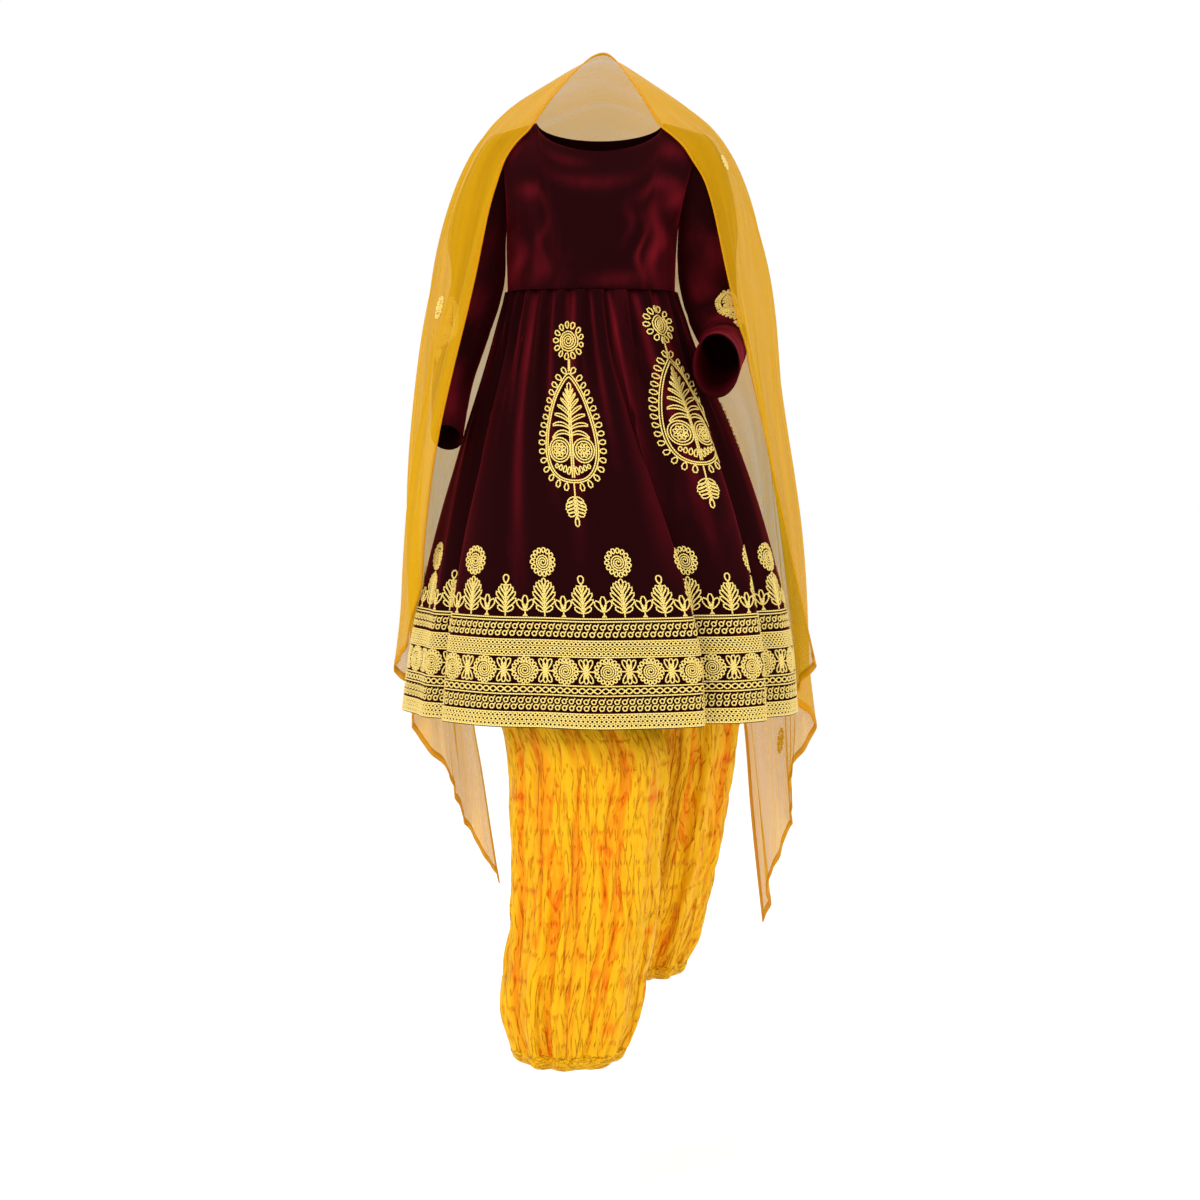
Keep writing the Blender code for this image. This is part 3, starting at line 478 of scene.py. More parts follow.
def through_rows(knots, values, at):
    """A smooth curve through the rows of a table, read at the given places."""
    knots = np.asarray(knots, float)
    values = np.asarray(values, float)
    at = np.clip(np.asarray(at, float), knots[0], knots[-1])
    slopes = np.gradient(values, knots, axis=0)
    i = np.clip(np.searchsorted(knots, at, side="right") - 1, 0, len(knots) - 2)
    span = knots[i + 1] - knots[i]
    t = ((at - knots[i]) / span)[..., None]
    span = span[..., None]
    return cubic(values[i], slopes[i] * span, values[i + 1], slopes[i + 1] * span, t)


def columns(rows, *picked):
    return np.array([[row[k] for k in picked] for row in rows])


def directions(surface, u, v, sign):
    """Unit normals of a surface at its grid, from small steps both ways."""
    tiny = 2.0e-4
    du = surface(u + tiny, v) - surface(u - tiny, v)
    dv = surface(u, v + tiny) - surface(u, v - tiny)
    normal = np.cross(du, dv) * sign
    return normal / np.maximum(np.linalg.norm(normal, axis=-1, keepdims=True), 1e-12)


# %% [markdown]
# ## The frock's skirt
# The skirt is a wide panel, front and back, gathered into the waist. Its folds roll under one
# another, so the surface is an ellipse whose angle runs back at each fold and whose layers step
# inwards. To that form come the creases of the velvet: short pleats at the waist, uneven in depth
# and reach, and a few long soft folds that fall toward the border.

# %% The skirt's sizes
LEAN = -0.013
LEAN_DEPTH = 0.200
WAIST_Z = -0.245
HEM_Z = -0.868
SEAM_GAP = 0.0004
SKIRT_ROWS = [
    # drop, centre_x, half_width, front_depth, back_depth
    (0.00, 0.000, 0.1245, 0.104, 0.092),
    (0.13, 0.004, 0.1525, 0.127, 0.116),
    (0.33, 0.012, 0.2000, 0.166, 0.154),
    (0.60, 0.018, 0.2520, 0.206, 0.196),
    (0.85, 0.019, 0.2850, 0.236, 0.226),
    (1.00, 0.017, 0.2950, 0.248, 0.240),
]
SKIRT_FOLDS = [
    # waist_turn, hem_turn, under, step, over
    (-140.0, -147.0, 0.040, 0.014, -1),
    (-110.0, -112.0, 0.032, 0.014, 1),
    (-60.0, -47.0, 0.040, 0.014, -1),
    (13.0, 23.0, 0.046, 0.014, 1),
    (58.0, 51.0, 0.026, 0.014, 1),
    (102.0, 103.0, 0.032, 0.014, -1),
    (152.0, 159.0, 0.034, 0.014, 1),
]
FOLD_HALF = 0.0072
FOLD_FADE = 7.5
PLEATS = 30
PLEAT_DEPTH = 0.0042
HEM_WAVES = [
    # waves round the hem, depth, shift in turns
    (7, 0.0045, 0.10),
    (13, 0.0030, 0.37),
]
SKIRT_CREASES = [
    # degrees at the waist, degrees at its end, depth in mm, half width in degrees, reach as a drop
    (-172, -168, 1.8, 3.4, 0.42), (-158, -160, 2.2, 2.6, 0.30), (-128, -124, 2.0, 3.2, 0.52),
    (-97, -96, 2.4, 2.8, 0.36), (-82, -84, 1.6, 3.6, 0.48), (-73, -70, 2.2, 2.4, 0.30),
    (-49, -45, 2.6, 2.6, 0.62), (-41, -36, 2.0, 2.2, 0.34), (-32, -29, 2.8, 2.8, 0.80),
    (-25, -24, 1.6, 1.8, 0.28), (-17, -15, 2.4, 2.4, 0.56), (-7, -6, 1.8, 2.2, 0.30),
    (2, 1, 2.8, 2.6, 0.70), (8, 10, 2.2, 1.8, 0.46), (19, 25, 2.6, 2.0, 0.60),
    (24, 31, 1.8, 1.8, 0.34), (31, 37, 2.6, 2.4, 0.72), (40, 42, 1.6, 2.6, 0.38),
    (48, 46, 2.4, 2.4, 0.50), (67, 66, 2.0, 3.0, 0.60), (78, 80, 2.6, 2.8, 0.44),
    (90, 88, 1.8, 3.2, 0.32), (114, 116, 2.4, 3.0, 0.56), (126, 128, 1.8, 2.6, 0.36),
    (138, 141, 2.6, 3.0, 0.66), (166, 170, 2.0, 3.2, 0.40),
]


# %% The skirt's surface
def leaned(points):
    """The frock's points moved across by the body's lean, which grows from the shoulders to the waist."""
    shift = LEAN * smooth_step(-points[..., 2] / LEAN_DEPTH)
    return points + np.stack([shift, 0.0 * shift, 0.0 * shift], axis=-1)


def skirt_point(turn, drop):
    """A point of the skirt; turn is the place round it from -0.5 to 0.5, 0 at the centre front."""
    turn, drop = np.broadcast_arrays(np.asarray(turn, float), np.asarray(drop, float))
    outline = through_rows(columns(SKIRT_ROWS, 0)[:, 0], columns(SKIRT_ROWS, 1, 2, 3, 4), drop)
    centre_x, half_width, front, back = np.moveaxis(outline, -1, 0)
    hem_turns = np.array([fold[1] for fold in SKIRT_FOLDS]) / 360.0
    waist_turns = np.array([fold[0] for fold in SKIRT_FOLDS]) / 360.0
    ring = np.concatenate([hem_turns - 1.0, hem_turns, hem_turns + 1.0])
    ring_top = np.concatenate([waist_turns - 1.0, waist_turns, waist_turns + 1.0])
    open_out = smooth_step(drop)
    angle = 2.0 * np.pi * (turn * open_out + np.interp(turn, ring, ring_top) * (1.0 - open_out))
    deep = np.where(np.cos(angle) > 0, front, back)
    speed = np.hypot(half_width * np.cos(angle), deep * np.sin(angle))
    along = np.zeros_like(angle)
    inward = np.zeros_like(angle)
    growth = smooth_step((drop - 0.12) / 0.78)
    for (_, hem_turn, under, step, over) in SKIRT_FOLDS:
        q = ((turn - hem_turn / 360.0 + 0.5) % 1.0 - 0.5) / FOLD_HALF
        along -= under * growth * q * np.exp((1.0 - q**2) / 2.0)
        q = q * over
        layers = smooth_step((q + 0.93) / 1.5 + 0.5) + smooth_step((q - 0.93) / 1.5 + 0.5)
        layers *= 1.0 - smooth_step((q - 2.0) / (FOLD_FADE - 2.0))
        inward += step * smooth_step(drop / 0.20) * (0.6 + 0.4 * growth) * layers
    angle = angle + along / speed
    pleat = 2.0 * np.pi * PLEATS * turn
    gather = PLEAT_DEPTH * (1.0 - smooth_step(drop / 0.55)) * np.sin(pleat - 0.7 * np.sin(pleat))
    wave = np.zeros_like(angle)
    for (count, depth, shift) in HEM_WAVES:
        wave += depth * growth * np.sin(2.0 * np.pi * (count * turn + shift))
    deep = np.where(np.cos(angle) > 0, front, back)
    x = half_width * np.sin(angle)
    y = -deep * np.cos(angle)
    out_x = np.sin(angle) / half_width
    out_y = -np.cos(angle) / deep
    size = np.hypot(out_x, out_y)
    move = gather + wave - inward
    z = WAIST_Z - SEAM_GAP + (HEM_Z - WAIST_Z + SEAM_GAP) * drop
    return leaned(np.stack([centre_x + x + move * out_x / size, y + move * out_y / size, z], axis=-1))


# %% The creases of the velvet and the painted sheen beside them
def skirt_creases(turn, drop):
    """How far the velvet's own creases sink in, in metres."""
    sink = np.zeros(np.broadcast(turn, drop).shape)
    for (start, end, depth, half, reach) in SKIRT_CREASES:
        share = np.clip(drop / reach, 0.0, 1.0)
        middle = (start + (end - start) * share) / 360.0
        off = ((turn - middle + 0.5) % 1.0 - 0.5) * 360.0 / (half * (1.0 + 0.8 * share))
        fade = smooth_step(drop / 0.03) * (1.0 - smooth_step((drop / reach - 0.45) / 0.55))
        deeper = 1.0 + 0.8 * smooth_step((drop - 0.07) / 0.06)
        sink += depth * 0.001 * deeper * np.exp(-off**2) * fade
    return sink


def skirt_sheen(turn, drop):
    """Where painted sheen lies on the pile, beside each crease, from 0 to 1."""
    shine = np.zeros(np.broadcast(turn, drop).shape)
    for k, (start, end, depth, half, reach) in enumerate(SKIRT_CREASES):
        share = np.clip(drop / reach, 0.0, 1.0)
        middle = (start + (end - start) * share) / 360.0
        off = ((turn - middle + 0.5) % 1.0 - 0.5) * 360.0 / (half * (1.0 + 0.8 * share))
        side = 1.1 if k % 3 else -1.1
        fade = smooth_step(drop / 0.02) * (1.0 - smooth_step((drop / reach - 0.35) / 0.65))
        shine += (0.16 * depth) * np.exp(-(((off - side) / 0.55) ** 2)) * fade
    # Painted sheen also runs beside each fold's edge.
    for (_, hem_turn, _, _, over) in SKIRT_FOLDS:
        off = ((turn - (hem_turn - 3.2 * over) / 360.0 + 0.5) % 1.0 - 0.5) * 360.0
        lit = 0.20 * np.exp(-((off / 1.9) ** 2)) * smooth_step((drop - 0.10) / 0.2)
        shine += lit * smooth_step((0.74 - drop) / 0.2)
    return np.clip(shine, 0.0, 1.0)


def skirt_skin(turn, drop, lift=0.0):
    """The skirt's outer face, its creases included, and its normal there."""
    turn, drop = np.broadcast_arrays(np.asarray(turn, float), np.asarray(drop, float))
    normal = directions(skirt_point, turn, np.clip(drop, 0.001, 0.999), -1)
    move = lift - skirt_creases(turn, drop)
    return skirt_point(turn, drop) + normal * move[..., None], normal


# %% The cloth's length round the skirt at each height
ARC_DROPS = np.linspace(0.02, 1.0, 71)
ARC_TURNS = np.linspace(-1.0, 1.0, 4801)
ring_points = skirt_point(ARC_TURNS[None, :], ARC_DROPS[:, None])
ring_steps = np.linalg.norm(np.diff(ring_points, axis=1), axis=-1)
ARC = np.concatenate([np.zeros((len(ARC_DROPS), 1)), np.cumsum(ring_steps, axis=1)], axis=1)
SLANT = 0.645                   # the cloth's length from waist to hem


def round_length(drop):
    row = int(np.argmin(np.abs(ARC_DROPS - drop)))
    return ARC[row, -1] / 2.0


def even_turns(drop, count, shift=0.0):
    """Places spread evenly along the cloth round the skirt at one height."""
    row = int(np.argmin(np.abs(ARC_DROPS - drop)))
    start = np.interp(-0.5, ARC_TURNS, ARC[row])
    places = start + (np.arange(count) + shift) / count * ARC[row, -1] / 2.0
    return np.interp(places, ARC[row], ARC_TURNS)


def along_cloth(turn, drop, x):
    """The turn that lies x metres along the cloth from the given one, at each drop."""
    row = np.interp(drop, ARC_DROPS, np.arange(len(ARC_DROPS)))
    low = np.clip(row.astype(int), 0, len(ARC_DROPS) - 2)
    share = row - low
    found = np.zeros_like(x)
    for k in np.unique(low):
        pick = low == k
        for r, weight in ((k, 1.0 - share[pick]), (k + 1, share[pick])):
            start = np.interp(turn[pick], ARC_TURNS, ARC[r])
            found[pick] += weight * np.interp(start + x[pick], ARC[r], ARC_TURNS)
    return found


print("cloth round the hem", round(round_length(0.97), 3), "m")
print("cloth round the waist", round(round_length(0.02), 3), "m")


# %% The skirt's two panels
SKIRT_COLUMNS = 250             # spans across a panel
SKIRT_DROPS = np.concatenate([np.linspace(0.0, 0.5, 42)[:-1], np.linspace(0.5, 1.0, 26)])
EVEN_DROP = 0.80                # the spans are even along the cloth at this height
SEAM_TURN = SEAM_GAP / 3.4      # the seam's gap as a part of a turn
SKIRT_PANELS = [
    # name, the solid's node, the turn of its middle
    ("frock_skirt_front", "skirt_front", 0.0), ("frock_skirt_back", "skirt_back", 0.5),
]
for name, node, centre in SKIRT_PANELS:
    row = int(np.argmin(np.abs(ARC_DROPS - EVEN_DROP)))
    limits = np.interp([centre - 0.25, centre + 0.25], ARC_TURNS, ARC[row])
    spots = np.interp(np.linspace(*limits, SKIRT_COLUMNS + 1), ARC[row], ARC_TURNS)
    spots[0] += SEAM_TURN
    spots[-1] -= SEAM_TURN
    turn, drop = np.meshgrid(spots, SKIRT_DROPS)
    outer, _ = skirt_skin(turn, drop)
    flat = np.stack([turn * round_length(EVEN_DROP), -drop * SLANT], axis=-1)
    piece = lay_cloth(name, outer, flat, MAROON, inside_out=True, relief=skirt_sheen(turn, drop))
    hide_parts(node)
    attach(piece, "root")
    print(name, len(piece.data.polygons), "faces")


# %% [markdown]
# ## The bodice
# Each panel runs from the waist seam to the neckline and bends over to the shoulder seam. Two
# princess seams shape the bust. Each is a narrow groove, so the grid has extra threads beside it.
# Soft drag lines run from the armholes toward the bust.

# %% The bodice's sizes
NECK_POINT_Z = 0.004
SHOULDER_TIP_Z = -0.012
ARMPIT_Z = -0.150
NECK_HALF = 0.093
SHOULDER_HALF = 0.150
ARMPIT_HALF = 0.127
FRONT_NECK_DROP = 0.048
BACK_NECK_DROP = 0.020
ARMHOLE_HALF_DEPTH = 0.058
SHOULDER_BEND = 0.62
BODY_POWER = 2.4                # a little squarer than an ellipse
ARMHOLE_CENTRE_Z = (SHOULDER_TIP_Z + ARMPIT_Z) / 2
ARMHOLE_HALF_HEIGHT = (SHOULDER_TIP_Z - ARMPIT_Z) / 2
BODICE_ROWS = [
    # rise, front_depth, back_depth
    (0.00, 0.104, 0.092),
    (0.25, 0.114, 0.094),
    (0.50, 0.117, 0.098),
    (0.75, 0.100, 0.092),
    (1.00, 0.066, 0.062),
]
BODICE_CREASES = [
    # across, rise, slope in degrees, half length, half width, depth in mm
    (-0.86, 0.40, 28, 0.30, 0.045, 1.6), (-0.80, 0.52, 40, 0.26, 0.040, 1.2),
    (-0.60, 0.12, 75, 0.16, 0.050, 1.0),
    (0.84, 0.38, -30, 0.32, 0.045, 1.8), (0.78, 0.50, -46, 0.28, 0.038, 1.3),
    (0.62, 0.10, -80, 0.15, 0.055, 1.2),
    (0.10, 0.07, 4, 0.45, 0.035, 0.8), (-0.30, 0.80, 12, 0.30, 0.040, 0.8),
    (0.36, 0.78, -16, 0.28, 0.045, 0.9),
]
PRINCESS_SEAM = [
    # rise, across
    (0.00, 0.76), (0.15, 0.78), (0.30, 0.83), (0.45, 0.92), (0.55, 1.02),
]
SEAM_HALF = 0.012
SEAM_DEPTH = 0.0011


# %% Where painted sheen lies on the bodice's pile
BODICE_SHEEN = [
    # across, rise, half across, half rise, strength
    (0.74, 0.28, 0.080, 0.20, 1.00), (0.58, 0.22, 0.035, 0.18, 0.55), (0.88, 0.56, 0.100, 0.07, 0.70),
    (0.66, 0.62, 0.180, 0.05, 0.45), (-0.74, 0.58, 0.120, 0.05, 0.45), (-0.86, 0.16, 0.080, 0.12, 0.60),
    (-0.62, 0.12, 0.100, 0.09, 0.35), (0.00, 0.76, 0.420, 0.05, 0.28), (0.30, 0.07, 0.300, 0.05, 0.30),
    (-0.90, 0.88, 0.080, 0.07, 0.45), (0.82, 0.84, 0.160, 0.06, 0.45), (-0.30, 0.90, 0.200, 0.04, 0.25),
    (-0.55, 0.30, 0.040, 0.14, 0.30), (0.40, 0.45, 0.050, 0.12, 0.22),
]


def bodice_sheen(across, rise):
    """Where painted sheen lies on the bodice's pile, from 0 to 1."""
    shine = np.zeros_like(across)
    for c0, r0, half_c, half_r, strength in BODICE_SHEEN:
        bend = 0.05 * np.sin(19.0 * rise + 7.0 * c0)
        shine += strength * np.exp(-(((across - c0 + bend) / half_c) ** 2) - ((rise - r0) / half_r) ** 2)
    return np.clip(shine, 0.0, 1.0)


# %% The bodice's surface
def armhole(turn):
    """The armhole's edge on the wearer's left; turn is 0 at the shoulder and half a circle at the armpit."""
    lift = (1.0 + np.cos(turn)) / 2.0
    x = ARMPIT_HALF + (SHOULDER_HALF - ARMPIT_HALF) * lift**1.5
    y = ARMHOLE_HALF_DEPTH * np.sin(turn)
    z = ARMHOLE_CENTRE_Z + ARMHOLE_HALF_HEIGHT * np.cos(turn)
    return x, y, z


def bodice_panel(across, rise, facing):
    """A point of the front (facing -1) or back (facing +1); across runs from -1 to 1, rise from 0 to 1."""
    across, rise = np.broadcast_arrays(np.asarray(across, float), np.asarray(rise, float))
    edge_z = WAIST_Z + (SHOULDER_TIP_Z - WAIST_Z) * rise
    lift = np.clip((edge_z - ARMHOLE_CENTRE_Z) / ARMHOLE_HALF_HEIGHT, -1.0, 1.0)
    hole_x, hole_y, _ = armhole(np.arccos(lift))
    below = smooth_step((ARMPIT_Z - edge_z) / (ARMPIT_Z - WAIST_Z))
    half = hole_x + (SKIRT_ROWS[0][2] - ARMPIT_HALF) * below
    edge_y = facing * np.abs(hole_y)
    neck_share = NECK_HALF / SHOULDER_HALF
    drop = FRONT_NECK_DROP if facing < 0 else BACK_NECK_DROP
    c = np.abs(across)
    scoop = np.sqrt(np.clip(1.0 - (c / neck_share) ** 2, 0.0, 1.0))
    slope = np.clip((c - neck_share) / (1.0 - neck_share), 0.0, 1.0)
    top_z = NECK_POINT_Z - drop * scoop + (SHOULDER_TIP_Z - NECK_POINT_Z) * slope
    z = WAIST_Z + (top_z - WAIST_Z) * rise
    depths = through_rows(columns(BODICE_ROWS, 0)[:, 0], columns(BODICE_ROWS, 1, 2), rise)
    depth = depths[..., 0 if facing < 0 else 1]
    round_body = (1.0 - c**BODY_POWER) ** (1.0 / BODY_POWER)
    body_y = facing * depth * round_body + edge_y * (1.0 - round_body)
    top_y = facing * depth * scoop
    near_top = 1.0 - np.sqrt(1.0 - np.clip((rise - SHOULDER_BEND) / (1.0 - SHOULDER_BEND), 0.0, 1.0) ** 2)
    y = body_y + (top_y - body_y) * near_top
    return leaned(np.stack([across * half, y, z], axis=-1))


def bodice_relief(across, rise):
    """How far the seams and creases sink in, in metres."""
    seam = np.interp(rise, [row[0] for row in PRINCESS_SEAM], [row[1] for row in PRINCESS_SEAM])
    sink = SEAM_DEPTH * np.exp(-(((np.abs(across) - seam) / SEAM_HALF) ** 2))
    for (c0, r0, slope, half_long, half_wide, depth) in BODICE_CREASES:
        a = np.radians(slope)
        u = (across - c0) * np.cos(a) + (rise - r0) * np.sin(a)
        v = -(across - c0) * np.sin(a) + (rise - r0) * np.cos(a)
        sink += depth * 0.001 * np.exp(-((u / half_long) ** 2) - (v / half_wide) ** 2)
    calm = smooth_step((1.0 - np.abs(across)) / 0.05) * smooth_step(rise / 0.02)
    return sink * (calm * smooth_step((1.0 - rise) / 0.05))


# %% The bodice's two panels
PANEL_HALF = 0.21               # half the flat panel's width
PANEL_HIGH = 0.26
SEAM_SPOTS = (0.76, 0.785, 0.81, 0.835, 0.86)
spots = [-np.cos(a) for a in np.linspace(0.0, np.pi, 89)]
for row in SEAM_SPOTS:
    spots += [-row, row]
spots = np.array(sorted(spots))
rises = 1.0 - (1.0 - np.linspace(0.0, 1.0, 64)) ** 1.5
BODICE_PANELS = [
    # name, the solid's node, -1 for front
    ("frock_bodice_front", "bodice_front", -1), ("frock_bodice_back", "bodice_back", 1),
]
for name, node, facing in BODICE_PANELS:
    across, rise = np.meshgrid(spots, rises)

    def panel(c, r, facing=facing):
        return bodice_panel(np.clip(c, -1.0, 1.0), np.clip(r, 0.0, 1.0), facing)

    points = panel(across, rise)
    normal = directions(panel, np.clip(across, -0.996, 0.996), np.clip(rise, 0.004, 0.992), -facing)
    points = points - normal * bodice_relief(across, rise)[..., None]
    rim = (np.abs(across) > 0.9999) | (rise > 0.999)
    points[..., 1] += np.where(rim, facing * SEAM_GAP / 2.0, 0.0)
    flat = np.stack([across * PANEL_HALF, rise * PANEL_HIGH], axis=-1)
    piece = lay_cloth(name, points, flat, MAROON, inside_out=facing > 0, relief=bodice_sheen(across, rise))
    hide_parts(node)
    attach(piece, "root")
    print(name, len(piece.data.polygons), "faces")


# %% [markdown]
# ## The sleeves
# A sleeve is a tube set into the armhole. The right one hangs down and the left one bends forward
# at the elbow, so the left has deeper creases on the inside of its bend. The tube's frames come
# from a table of rings, and the creases are laid round it one by one.

# %% The sleeves' sizes
SLEEVE_ROWS = {
    -1: [
        # x, y, z, side_half, deep_half
        (-0.1710, 0.000, -0.168, 0.0435, 0.055), (-0.1690, 0.008, -0.225, 0.0400, 0.050),
        (-0.1860, 0.008, -0.295, 0.0365, 0.046), (-0.2055, -0.010, -0.370, 0.0310, 0.041),
        (-0.2105, -0.044, -0.430, 0.0255, 0.038), (-0.2125, -0.062, -0.460, 0.0235, 0.037),
    ],
    1: [
        (0.1720, 0.000, -0.168, 0.0445, 0.055), (0.1730, 0.012, -0.218, 0.0435, 0.050),
        (0.1810, 0.014, -0.268, 0.0400, 0.047), (0.1960, -0.012, -0.314, 0.0360, 0.039),
        (0.1890, -0.085, -0.341, 0.0335, 0.040), (0.1790, -0.156, -0.357, 0.0340, 0.047),
    ],
}
SLEEVE_CREASES = {
    -1: [
        # along, turn in degrees, half width along, half width round, slope, depth in mm
        (0.06, 300, 0.030, 60, 0.0006, 2.0), (0.20, 265, 0.026, 70, -0.0005, 1.8),
        (0.34, 290, 0.022, 66, 0.0008, 2.4),
        (0.42, 240, 0.020, 58, -0.0007, 2.0), (0.50, 310, 0.022, 72, 0.0005, 2.6),
        (0.60, 262, 0.024, 60, 0.0009, 1.8),
        (0.72, 300, 0.022, 52, -0.0006, 1.6), (0.30, 80, 0.024, 64, 0.0006, 1.6),
        (0.46, 110, 0.022, 60, -0.0008, 1.8),
        (0.88, 250, 0.020, 70, 0.0004, 1.4),
    ],
    1: [
        (0.08, 240, 0.028, 62, -0.0006, 2.0), (0.22, 280, 0.024, 60, 0.0005, 2.2),
        (0.36, 236, 0.018, 70, 0.0004, 3.0),
        (0.44, 250, 0.017, 74, -0.0004, 3.4), (0.52, 236, 0.018, 66, 0.0005, 3.0),
        (0.62, 282, 0.022, 60, -0.0006, 2.2),
        (0.74, 230, 0.024, 60, 0.0008, 1.8), (0.34, 90, 0.024, 60, -0.0006, 1.4),
        (0.86, 300, 0.022, 66, 0.0005, 1.8),
    ],
}


# %% The sleeve's surface
def tube_frames(rows, at):
    """Centres, half sizes and the way of a tube whose rows are x, y, z and two half sizes."""
    path = np.array(rows, float)
    knots = np.concatenate([[0.0], np.cumsum(np.linalg.norm(np.diff(path[:, :3], axis=0), axis=1))])
    place = np.asarray(at, float) * knots[-1]
    read = through_rows(knots, path, place)
    ahead = through_rows(knots, path, np.minimum(place + 0.004, knots[-1]))
    behind = through_rows(knots, path, np.maximum(place - 0.004, 0.0))
    way = ahead[..., :3] - behind[..., :3]
    return read, way / np.linalg.norm(way, axis=-1, keepdims=True)


def sleeve_point(turn, along, side):
    """A point of a sleeve; side is -1 for the wearer's right. along is below 0 on the cap, then 0 to 1."""
    turn, along = np.broadcast_arrays(np.asarray(turn, float), np.asarray(along, float))
    read, way = tube_frames(SLEEVE_ROWS[side], np.clip(along, 0.0, 1.0))
    start_way = np.array([0.0, 0.0, -1.0])
    settle = smooth_step(along / 0.25)[..., None]
    way = start_way * (1.0 - settle) + way * settle
    way = way / np.linalg.norm(way, axis=-1, keepdims=True)
    outward = np.array([float(side), 0.0, 0.0])
    across = outward - way * np.sum(way * outward, axis=-1, keepdims=True)
    across = across / np.linalg.norm(across, axis=-1, keepdims=True)
    deep = np.cross(way, across) * side
    arm = (
        read[..., :3]
        + across * (read[..., 3] * np.cos(turn))[..., None]
        - deep * (read[..., 4] * np.sin(turn))[..., None]
    )
    hole_x, hole_y, hole_z = armhole(turn)
    edge = np.stack([side * (hole_x + SEAM_GAP), hole_y, hole_z], axis=-1)
    t = np.clip(1.0 + along, 0.0, 1.0)[..., None]
    span = np.linalg.norm(arm - edge, axis=-1, keepdims=True)
    lift = ((1.0 + np.cos(turn)) / 2.0)[..., None]
    leave = span * 0.5 * lift * outward + (1.0 - lift) * (arm - edge)
    cap = cubic(edge, leave, arm, span * 0.8 * start_way, t)
    return leaned(np.where((along < 0.0)[..., None], cap, arm))


def sleeve_skin(turn, along, side, lift=0.0):
    """The sleeve's outer face, its creases included, and its normal there."""
    def tube(t, a):
        return sleeve_point(t, a, side)

    turn, along = np.broadcast_arrays(np.asarray(turn, float), np.asarray(along, float))
    calm = np.clip(np.where(np.abs(along) < 0.002, 0.002, along), -0.99, 0.998)
    normal = directions(tube, turn, calm, -side)
    sink = np.zeros(turn.shape)
    for (place, middle, half_long, half_round, slope, depth) in SLEEVE_CREASES[side]:
        off = (np.degrees(turn) - middle + 180.0) % 360.0 - 180.0
        u = along - place - slope * off
        sink += depth * 0.001 * np.exp(-((u / half_long) ** 2) - (off / half_round) ** 2)
    sink *= smooth_step((along + 0.95) / 0.3) * smooth_step((1.0 - along) / 0.04)
    return tube(turn, along) + normal * (lift - sink)[..., None], normal


# %% Where painted sheen lies on the sleeves' pile
SLEEVE_SHEEN = {
    -1: [
        # along, turn in degrees, half length, half width in degrees, strength
        (0.88, 285, 0.09, 60, 0.75), (0.55, 300, 0.14, 22, 0.45), (0.30, 265, 0.10, 26, 0.40),
        (0.06, 290, 0.10, 40, 0.30),
        (0.50, 100, 0.20, 40, 0.35), (0.72, 250, 0.10, 20, 0.40),
    ],
    1: [
        (0.50, 270, 0.07, 50, 0.55), (0.22, 250, 0.09, 30, 0.45), (0.80, 20, 0.12, 60, 0.60),
        (0.90, 240, 0.08, 70, 0.50),
        (0.05, 300, 0.10, 36, 0.40), (0.45, 90, 0.16, 40, 0.35),
    ],
}


# %% The two sleeves
turns = np.linspace(0.0, 2.0 * np.pi, 81)
places = np.concatenate([-np.linspace(1.0, 0.0, 17)[:-1], np.linspace(0.0, 1.0, 71)])
SLEEVE_ROUND = 0.046            # metres of cloth for a radian of turn
CAP_LONG = 0.12
ARM_LONG = 0.31
SLEEVES = [
    # name, the solid's node, side
    ("frock_sleeve_right", "sleeve_right", -1), ("frock_sleeve_left", "sleeve_left", 1),
]
for name, node, side in SLEEVES:
    turn, along = np.meshgrid(turns, places)
    points, _ = sleeve_skin(turn, along, side)
    flat = np.stack([turn * SLEEVE_ROUND, -along * np.where(along < 0, CAP_LONG, ARM_LONG)], axis=-1)
    shine = 0.0 * along
    for place, middle, half_long, half_round, strength in SLEEVE_SHEEN[side]:
        off = (np.degrees(turn) - middle + 180.0) % 360.0 - 180.0
        shine += strength * np.exp(-(((along - place) / half_long) ** 2) - (off / half_round) ** 2)
    shine = np.clip(shine, 0.0, 1.0)
    piece = lay_cloth(name, points, flat, MAROON, tube=True, inside_out=side > 0, relief=shine)
    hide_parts(node)
    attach(piece, "root")
    print(name, len(piece.data.polygons), "faces")


# %% [markdown]
# ## The gold cord work
# A metal cord is laid on the velvet along a drawn line and stitched down, which gives raised loops,
# spirals and rows. Each motif is drawn once on the flat, in millimetres, as a few loops and
# spirals. Its points are then measured out along the cloth from the motif's place, so the copies
# keep their size and follow the folds. A cord is a tube of four sides whose centre rides just above
# the velvet, computed in one go, because thousands of them can't be placed by hand.

# %% Cords as tubes
CORD_HALF = 0.00120


